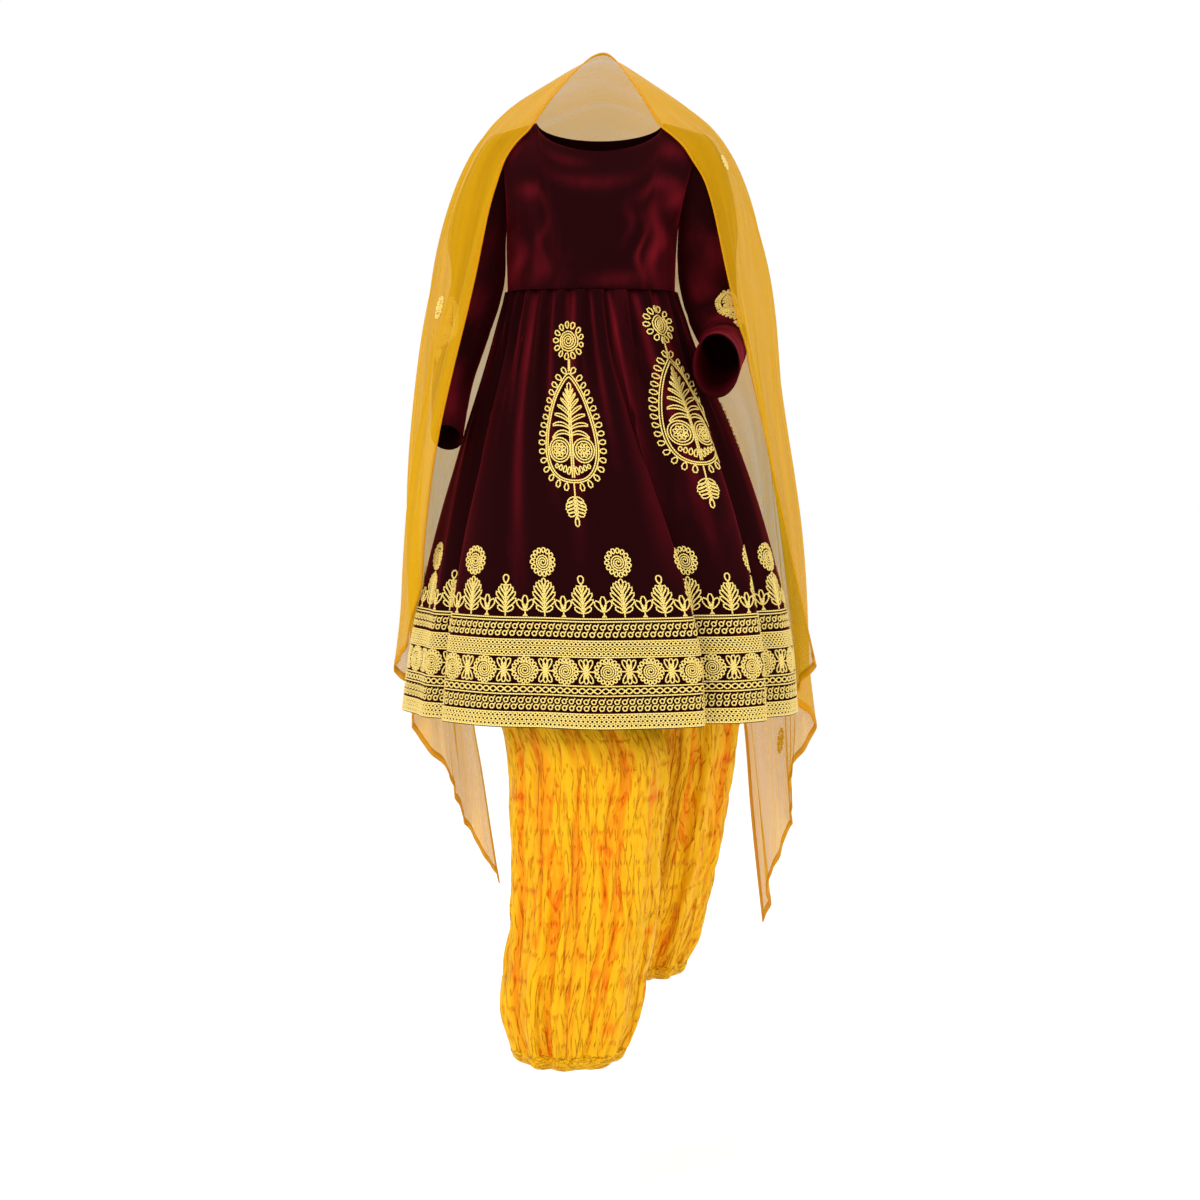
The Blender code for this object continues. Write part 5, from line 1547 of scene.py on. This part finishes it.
# %% The two legs
turns = np.linspace(0.0, 1.0, 201)
downs = np.concatenate([
    np.linspace(0.0, 1.0, 9)[:-1], np.linspace(1.0, 1.25, 8)[:-1], np.linspace(1.25, 2.0, 96)[:-1],
    np.linspace(2.0, 3.0, 22),
])
LEG_ROUND = 0.68                # the flat cloth's scale in the UV map, in metres
LEG_LONG = 0.45
RELIEF_SPAN = 0.018
LEGS = [
    # name, the solid's node, side
    ("trousers_right_leg", "trouser_right_leg", -1), ("trousers_left_leg", "trouser_left_leg", 1),
]
for name, node, side in LEGS:
    turn, down = np.meshgrid(turns, downs)

    def leg(t, d, side=side):
        return leg_point(t, np.clip(d, 0.0, 3.0), side)

    calm = np.clip(np.where(np.abs(down - np.round(down)) < 0.003, down + 0.004, down), 0.002, 2.996)
    normal = directions(leg, np.clip(turn, 0.001, 0.999), calm, -side)
    below = (down >= 0.999)
    both = (normal[:, :1] + normal[:, -1:]) / 2.0
    normal[:, :1] = np.where(below[:, :1, None], both, normal[:, :1])
    normal[:, -1:] = np.where(below[:, -1:, None], both, normal[:, -1:])
    ends = ((turn < 1e-6) | (turn > 1.0 - 1e-6)) & ~below
    normal[..., 0] = np.where(ends, 0.0, normal[..., 0])
    relief = crush(turn, down, side)
    relief[:, -1] = relief[:, 0]
    points = leg(turn, down) + normal * relief[..., None]
    flat = np.stack([turn * LEG_ROUND, -down * LEG_LONG], axis=-1)
    print(name, "relief from", round(relief.min() * 1000.0, 1), "to", round(relief.max() * 1000.0, 1), "mm")
    # The relief attribute tells the satin where to paint shade into sunk places.
    piece = lay_cloth(name, points, flat, SATIN, tube=True, inside_out=side > 0, thickness=0.0010,
                      relief=np.clip(0.5 + relief / RELIEF_SPAN, 0.0, 1.0))
    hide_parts(node)
    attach(piece, "root")
    print(name, len(piece.data.polygons), "faces")


# %% [markdown]
# ## The waistband
# The trousers' band is a casing drawn in by elastic. It hides under the skirt, so it is a short tube
# with small gathers, as thick as the folded cloth with the elastic in it.

# %% Waistband
BAND_TOP_Z = -0.250
BAND_GATHERS = 64
BAND_GATHER_DEPTH = 0.0007
BAND_INSET = 0.0078             # how far it lies inside the skirt's outer face
BAND_ROUND = 0.70
turn, height = np.meshgrid(np.linspace(-0.5, 0.5, 257), np.linspace(BAND_TOP_Z, TROUSER_TOP_Z + SEAM_GAP, 9))
top_drop = (BAND_TOP_Z - WAIST_Z) / (HEM_Z - WAIST_Z)
centre_x, half_width, front, back = through_rows(
    columns(SKIRT_ROWS, 0)[:, 0], columns(SKIRT_ROWS, 1, 2, 3, 4), top_drop
)
angle = 2.0 * np.pi * turn
share = (height - BAND_TOP_Z) / (TROUSER_TOP_Z - BAND_TOP_Z)
swell = BAND_GATHER_DEPTH * np.sin(np.pi * share) * (1.0 + np.sin(BAND_GATHERS * angle))
inset = BAND_INSET - swell
deep = np.where(np.cos(angle) > 0, front, back) - inset
across = LEAN + centre_x + (half_width - inset) * np.sin(angle)
points = np.stack([across, -deep * np.cos(angle), height], axis=-1)
band = lay_cloth("trousers_waistband", points, np.stack([turn * BAND_ROUND, height], -1), SATIN, tube=True,
                 inside_out=True, thickness=0.0026)
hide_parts("trouser_waistband")
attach(band, "root")
print("waistband", len(band.data.polygons), "faces")


# %% [markdown]
# ## The veil
# One long rectangle of chiffon lies over the neck and falls on both sides. Its surface is a curved
# sheet through three lines: the edge that frames the neck, the line over the arm and the edge that
# hangs behind. It is pushed clear of the frock, as cloth that rests on another does, then refined and
# given fine folds that run with the fall.

# %% The veil's sizes
VEIL_RIGHT = [
    # front_x, front_y, front_z, side_x, side_y, side_z, rear_x, rear_y, rear_z
    (0.006, -0.014, 0.125, 0.006, 0.060, 0.082, 0.000, 0.176, -0.600),
    (-0.050, -0.034, 0.064, -0.100, 0.046, 0.034, -0.068, 0.178, -0.610),
    (-0.099, -0.042, -0.004, -0.188, 0.030, -0.026, -0.132, 0.186, -0.650),
    (-0.150, -0.074, -0.088, -0.248, 0.036, -0.190, -0.184, 0.200, -0.730),
    (-0.191, -0.094, -0.238, -0.276, 0.036, -0.400, -0.206, 0.226, -0.870),
    (-0.2570, -0.114, -0.490, -0.292, 0.066, -0.620, -0.190, 0.256, -1.030),
    (-0.299, 0.012, -0.778, -0.292, 0.130, -0.880, -0.169, 0.266, -1.184),
]
VEIL_LEFT = [
    (0.006, -0.014, 0.125, 0.006, 0.060, 0.082, 0.000, 0.176, -0.600),
    (0.050, -0.030, 0.060, 0.100, 0.044, 0.036, 0.072, 0.178, -0.610),
    (0.097, -0.044, -0.018, 0.192, 0.030, -0.026, 0.140, 0.186, -0.650),
    (0.149, -0.074, -0.086, 0.248, 0.036, -0.180, 0.196, 0.202, -0.740),
    (0.181, -0.086, -0.240, 0.268, 0.040, -0.400, 0.226, 0.230, -0.900),
    (0.238, -0.062, -0.490, 0.302, 0.070, -0.630, 0.246, 0.260, -1.080),
    (0.308, 0.008, -0.792, 0.320, 0.130, -0.920, 0.266, 0.272, -1.257),
]
VEIL_SIDE_AT = 0.36
PEAK_ROUND = 0.055              # how softly the cloth bends over the neck, as a share of its half length
VEIL_FOLDS = 3.0
VEIL_FOLD_DEPTH = 0.022
BACK_FOLDS = 4.0
BACK_FOLD_DEPTH = 0.024
VEIL_CLEARANCE = 0.0044
FINE_CLEARANCE = 0.0042
VEIL_ALONG = 40
VEIL_ACROSS = 16
VEIL_LENGTH = 2.15
VEIL_WIDTH = 0.92


# %% The veil's surface
def veil_point(along, across):
    """A point of the veil; along runs from -1, the wearer's right end, to 1, across from 0 in front."""
    along, across = np.broadcast_arrays(np.asarray(along, float), np.asarray(across, float))
    knots = np.linspace(0.0, 1.0, len(VEIL_RIGHT))
    place = np.abs(along)
    right = through_rows(knots, np.array(VEIL_RIGHT), place)
    left = through_rows(knots, np.array(VEIL_LEFT), place)
    soft = np.hypot(place, PEAK_ROUND)
    for side, table in ((right, VEIL_RIGHT), (left, VEIL_LEFT)):
        side[..., 2] = through_rows(knots, np.array(table)[:, 2:3], soft)[..., 0]
    section = np.where((along < 0.0)[..., None], right, left)
    stations = np.stack([section[..., 0:3], section[..., 3:6], section[..., 6:9]])
    before = across < VEIL_SIDE_AT
    t = np.where(before, across / VEIL_SIDE_AT, (across - VEIL_SIDE_AT) / (1.0 - VEIL_SIDE_AT))[..., None]
    start = np.where(before[..., None], stations[0], stations[1])
    end = np.where(before[..., None], stations[1], stations[2])
    share = np.where(before, VEIL_SIDE_AT, 1.0 - VEIL_SIDE_AT)[..., None]
    front_slope = (stations[1] - stations[0]) / VEIL_SIDE_AT
    rear_slope = (stations[2] - stations[1]) / (1.0 - VEIL_SIDE_AT)
    mid_slope = front_slope * (1.0 - VEIL_SIDE_AT) + rear_slope * VEIL_SIDE_AT
    start_slope = np.where(before[..., None], front_slope, mid_slope)
    end_slope = np.where(before[..., None], mid_slope, rear_slope)
    base = cubic(start, start_slope * share, end, end_slope * share, t)
    grow = smooth_step((place - 0.38) / 0.5)
    phase = 2.0 * np.pi * (VEIL_FOLDS * across + 0.18 * np.sign(along) * place)
    sway = VEIL_FOLD_DEPTH * grow * np.sin(phase)
    behind = smooth_step((across - 0.30) / 0.70) * (1.0 - grow)
    sway += BACK_FOLD_DEPTH * behind * (1.0 + np.cos(2.0 * np.pi * BACK_FOLDS * place)) / 2.0
    out = np.stack([np.sign(along) * (1.0 - 0.7 * across), 0.2 + across, 0.0 * across], axis=-1)
    return base + out / np.linalg.norm(out, axis=-1, keepdims=True) * sway[..., None]


# %% Push the veil clear of the frock
def push_clear(points, trees, clearance, tries=6):
    """Move points out until they clear the pieces they lie over by the given distance."""
    flat = points.reshape(-1, 3)
    for k, point in enumerate(flat):
        spot = Vector(point)
        for _ in range(tries):
            worst, away = clearance, None
            for tree in trees:
                near, normal, _, distance = tree.find_nearest(spot, 0.08)
                if near is None:
                    continue
                offset = spot - near
                inside = distance < 0.03 and offset.dot(normal) < -0.8 * distance
                signed = -distance if inside else distance
                if signed < worst - 1e-5:
                    worst = signed
                    away = normal if inside or distance < 1e-6 else offset / distance
            if away is None:
                break
            spot = spot + away * (clearance - worst)
        flat[k] = spot
    return flat.reshape(points.shape)


def skin_tree(surface, us, vs, flip):
    """A search tree of one outer face, from a coarse grid of its surface."""
    u, v = np.meshgrid(us, vs)
    points = surface(u, v)
    rows, cols = points.shape[:2]
    faces = []
    for r in range(rows - 1):
        for c in range(cols - 1):
            quad = [r * cols + c, r * cols + c + 1, (r + 1) * cols + c + 1, (r + 1) * cols + c]
            faces.append(quad[::-1] if flip else quad)
    return BVHTree.FromPolygons([Vector(p) for p in points.reshape(-1, 3)], faces)


# %% Lay the veil on the frock
CORD_ROOM = 0.003               # room over the skirt for its cords
arcs = -np.cos(np.linspace(0.0, np.pi, 25))
rises = np.linspace(0.0, 1.0, 17)
rounds = np.linspace(0.0, 6.2832, 25)
places = np.linspace(-1.0, 1.0, 31)
turns = np.linspace(-0.5, 0.5, 241)
trees = [
    skin_tree(lambda u, v: bodice_panel(u, v, -1), arcs, rises, False),
    skin_tree(lambda u, v: bodice_panel(u, v, 1), arcs, rises, True),
    skin_tree(lambda u, v: sleeve_point(u, v, -1), rounds, places, False),
    skin_tree(lambda u, v: sleeve_point(u, v, 1), rounds, places, True),
    skin_tree(lambda u, v: skirt_skin(u, v, CORD_ROOM)[0], turns, np.linspace(0.0, 1.0, 15), True),
]
grid_l, grid_w = np.meshgrid(np.linspace(-1.0, 1.0, VEIL_ALONG + 1), np.linspace(0.0, 1.0, VEIL_ACROSS + 1),
                             indexing="ij")
cloth = veil_point(grid_l, grid_w)
for _ in range(3):
    cloth = push_clear(cloth, trees, VEIL_CLEARANCE)
    calm = cloth.copy()
    calm[1:-1, 1:-1] = cloth[1:-1, 1:-1] * 0.5 + 0.125 * (
        cloth[:-2, 1:-1] + cloth[2:, 1:-1] + cloth[1:-1, :-2] + cloth[1:-1, 2:])
    cloth = calm
cloth = push_clear(cloth, trees, VEIL_CLEARANCE)
print("veil laid on", cloth.shape, "points")


# %% Refine the veil and add its fine folds
def refine(grid, axis, count):
    """A smooth finer grid through the points of a coarse one, along one axis."""
    knots = np.linspace(0.0, 1.0, grid.shape[axis])
    moved = np.moveaxis(grid, axis, 0)
    shape = moved.shape
    fine = through_rows(knots, moved.reshape(shape[0], -1), np.linspace(0.0, 1.0, count))
    return np.moveaxis(fine.reshape(count, *shape[1:]), 0, axis)


FINE_ALONG = 181
FINE_ACROSS = 91
fine = refine(refine(cloth, 0, FINE_ALONG), 1, FINE_ACROSS)
along, across = np.meshgrid(np.linspace(-1.0, 1.0, FINE_ALONG), np.linspace(0.0, 1.0, FINE_ACROSS),
                            indexing="ij")
normal = np.cross(np.gradient(fine, axis=0), np.gradient(fine, axis=1))
normal /= np.linalg.norm(normal, axis=-1, keepdims=True)
FINE_FOLDS = [
    # folds across the width, depth in mm, drift with the fall, place where they begin
    (9.0, 2.6, 0.50, 0.16), (17.0, 1.3, -0.90, 0.10), (5.0, 3.2, 0.30, 0.45),
]
ripple = np.zeros_like(along)
for folds, depth, drift, begin in FINE_FOLDS:
    grow = smooth_step((np.abs(along) - begin) / 0.30)
    phase = 2.0 * np.pi * (folds * across + drift * along * np.abs(along) + 0.3)
    ripple += depth * 0.001 * grow * np.sin(phase)
fine = fine + normal * ripple[..., None]
fine = push_clear(fine, trees, FINE_CLEARANCE, 3)
flat = np.stack([along * VEIL_LENGTH / 2.0, across * VEIL_WIDTH], axis=-1)
veil = lay_cloth("veil_cloth", fine, flat, CHIFFON, thickness=0.0004)
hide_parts("veil_crown", "veil_right_fall", "veil_left_fall")
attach(veil, "root")
print("veil", len(veil.data.polygons), "faces")


# %% [markdown]
# ### The veil's hem
# All four edges are rolled or turned and stitched, so they look darker and firmer than the sheer
# cloth. A hem is a flat tube along the edge: narrow in front, wider behind, widest at the two ends.

# %% Rolled hems
def hem_strip(points, inward, normals, width, half_thick):
    """A flat tube along an edge; inward points into the cloth."""
    offsets = [(0.0, 1.0), (0.0, -1.0), (1.0, -1.0), (1.0, 1.0)]
    return np.stack([
        points + inward * (width * a - 0.0006) + normals * half_thick * b for a, b in offsets
    ], axis=1)


def unit(v):
    """The same directions with length one."""
    return v / np.maximum(np.linalg.norm(v, axis=-1, keepdims=True), 1e-12)


normal = np.cross(np.gradient(fine, axis=0), np.gradient(fine, axis=1))
normal /= np.linalg.norm(normal, axis=-1, keepdims=True)
HEM_HALF_THICK = 0.0009
HEMS = [
    # the edge's points, points further in, normals, width
    (fine[:, 0], fine[:, 3], normal[:, 0], 0.0045), (fine[:, -1], fine[:, -4], normal[:, -1], 0.0110),
    (fine[0], fine[3], normal[0], 0.0130), (fine[-1], fine[-4], normal[-1], 0.0130),
]
verts, faces, charts, count = [], [], [], 0
for edge, within, up, width in HEMS:
    strip = hem_strip(edge, unit(within - edge), up, width, HEM_HALF_THICK)
    n = len(strip)
    verts.append(strip.reshape(-1, 3))
    length = np.concatenate([[0.0], np.cumsum(np.linalg.norm(np.diff(edge, axis=0), axis=1))])
    for i in range(n - 1):
        for j in range(4):
            k = (j + 1) % 4
            near, far = count + i * 4, count + (i + 1) * 4
            faces.append([near + j, far + j, far + k, near + k])
            charts += [(length[i], 0.0), (length[i + 1], 0.0), (length[i + 1], 0.01), (length[i], 0.01)]
    faces.append([count + j for j in (3, 2, 1, 0)])
    faces.append([count + (n - 1) * 4 + j for j in range(4)])
    charts += [(0.0, 0.0)] * 8
    count += n * 4
data = bpy.data.meshes.new("veil_hem")
data.from_pydata(np.concatenate(verts).tolist(), [], faces)
data.uv_layers.new(name="cloth").data.foreach_set("uv", np.array(charts).reshape(-1))
data.shade_smooth()
data.materials.append(ROLLED_HEM)
veil_hem = bpy.data.objects.new("veil_hem", data)
bpy.context.scene.collection.objects.link(veil_hem)
bpy.ops.object.select_all(action="DESELECT")
bpy.context.view_layer.objects.active = veil_hem
veil_hem.select_set(True)
bpy.ops.object.mode_set(mode="EDIT")
bpy.ops.mesh.select_all(action="SELECT")
bpy.ops.mesh.normals_make_consistent(inside=False)
bpy.ops.object.mode_set(mode="OBJECT")
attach(veil_hem, "root")
print("hem", len(faces), "faces")


# %% [markdown]
# ### The veil's rosettes
# A few small gold rosettes are scattered over the veil's two falls. Each is a spiral with a ring of
# loops, as on the skirt, sewn on the outer face.

# %% Rosettes on the veil
VEIL_ROSETTES = [
    # along, across
    (-0.86, 0.70), (0.88, 0.74), (-0.62, 0.20), (0.42, 0.16), (-0.58, 0.78), (0.60, 0.80),
]
bud = rosette(0.0, 0.0, 9.0, 14.0, 12, 4.6)


def veil_skin(x, y, lift):
    """Points of the veil by their place along and across, which run as the UV map does."""
    i = (x + 1.0) / 2.0 * (FINE_ALONG - 1)
    j = y * (FINE_ACROSS - 1)
    i0 = np.clip(i.astype(int), 0, FINE_ALONG - 2)
    j0 = np.clip(j.astype(int), 0, FINE_ACROSS - 2)
    a, b = (i - i0)[:, None], (j - j0)[:, None]

    def read(grid):
        return ((grid[i0, j0] * (1 - a) + grid[i0 + 1, j0] * a) * (1 - b)
                + (grid[i0, j0 + 1] * (1 - a) + grid[i0 + 1, j0 + 1] * a) * b)

    up = unit(read(normal))
    return read(fine) + up * lift, up


runs = [
    (x + points[:, 0] * 0.002 / VEIL_LENGTH, y + points[:, 1] * 0.001 / VEIL_WIDTH, closed)
    for x, y in VEIL_ROSETTES for points, closed in bud
]
sew_cords("cord_veil_rosettes", stitched(runs, veil_skin, 0.0012), GOLD_CORD, half=0.0011)


# %% [markdown]
# ## The size each sheet was cut to
# A table gives the flat size each piece of cloth had before it was sewn or hung, how it is held and
# what it rests on, and each piece is looked up by name.


SHEETS = [
    # piece, width, length, held, rests on
    ("frock_bodice_front", 0.44, 0.27, "hung", ["frock_sleeve_right", "frock_sleeve_left"]),
    ("frock_bodice_back", 0.42, 0.27, "hung", ["frock_sleeve_right", "frock_sleeve_left"]),
    ("frock_sleeve_right", 0.36, 0.46, "hung", ["frock_bodice_front"]),
    ("frock_sleeve_left", 0.36, 0.46, "hung", ["frock_bodice_front"]),
    ("frock_skirt_front", 1.24, 0.66, "gathered", ["frock_bodice_front"]),
    ("frock_skirt_back", 1.24, 0.66, "gathered", ["frock_bodice_back"]),
    ("trousers_right_leg", 0.80, 1.16, "gathered", ["trousers_waistband"]),
    ("trousers_left_leg", 0.80, 1.16, "gathered", ["trousers_waistband"]),
    ("trousers_waistband", 0.72, 0.04, "gathered", ["frock_skirt_front"]),
    ("veil_cloth", VEIL_LENGTH, VEIL_WIDTH, "draped", ["frock_bodice_front", "frock_sleeve_left"]),
]
for name, width, length, held, rests_on in SHEETS:
    piece = bpy.data.objects[name]
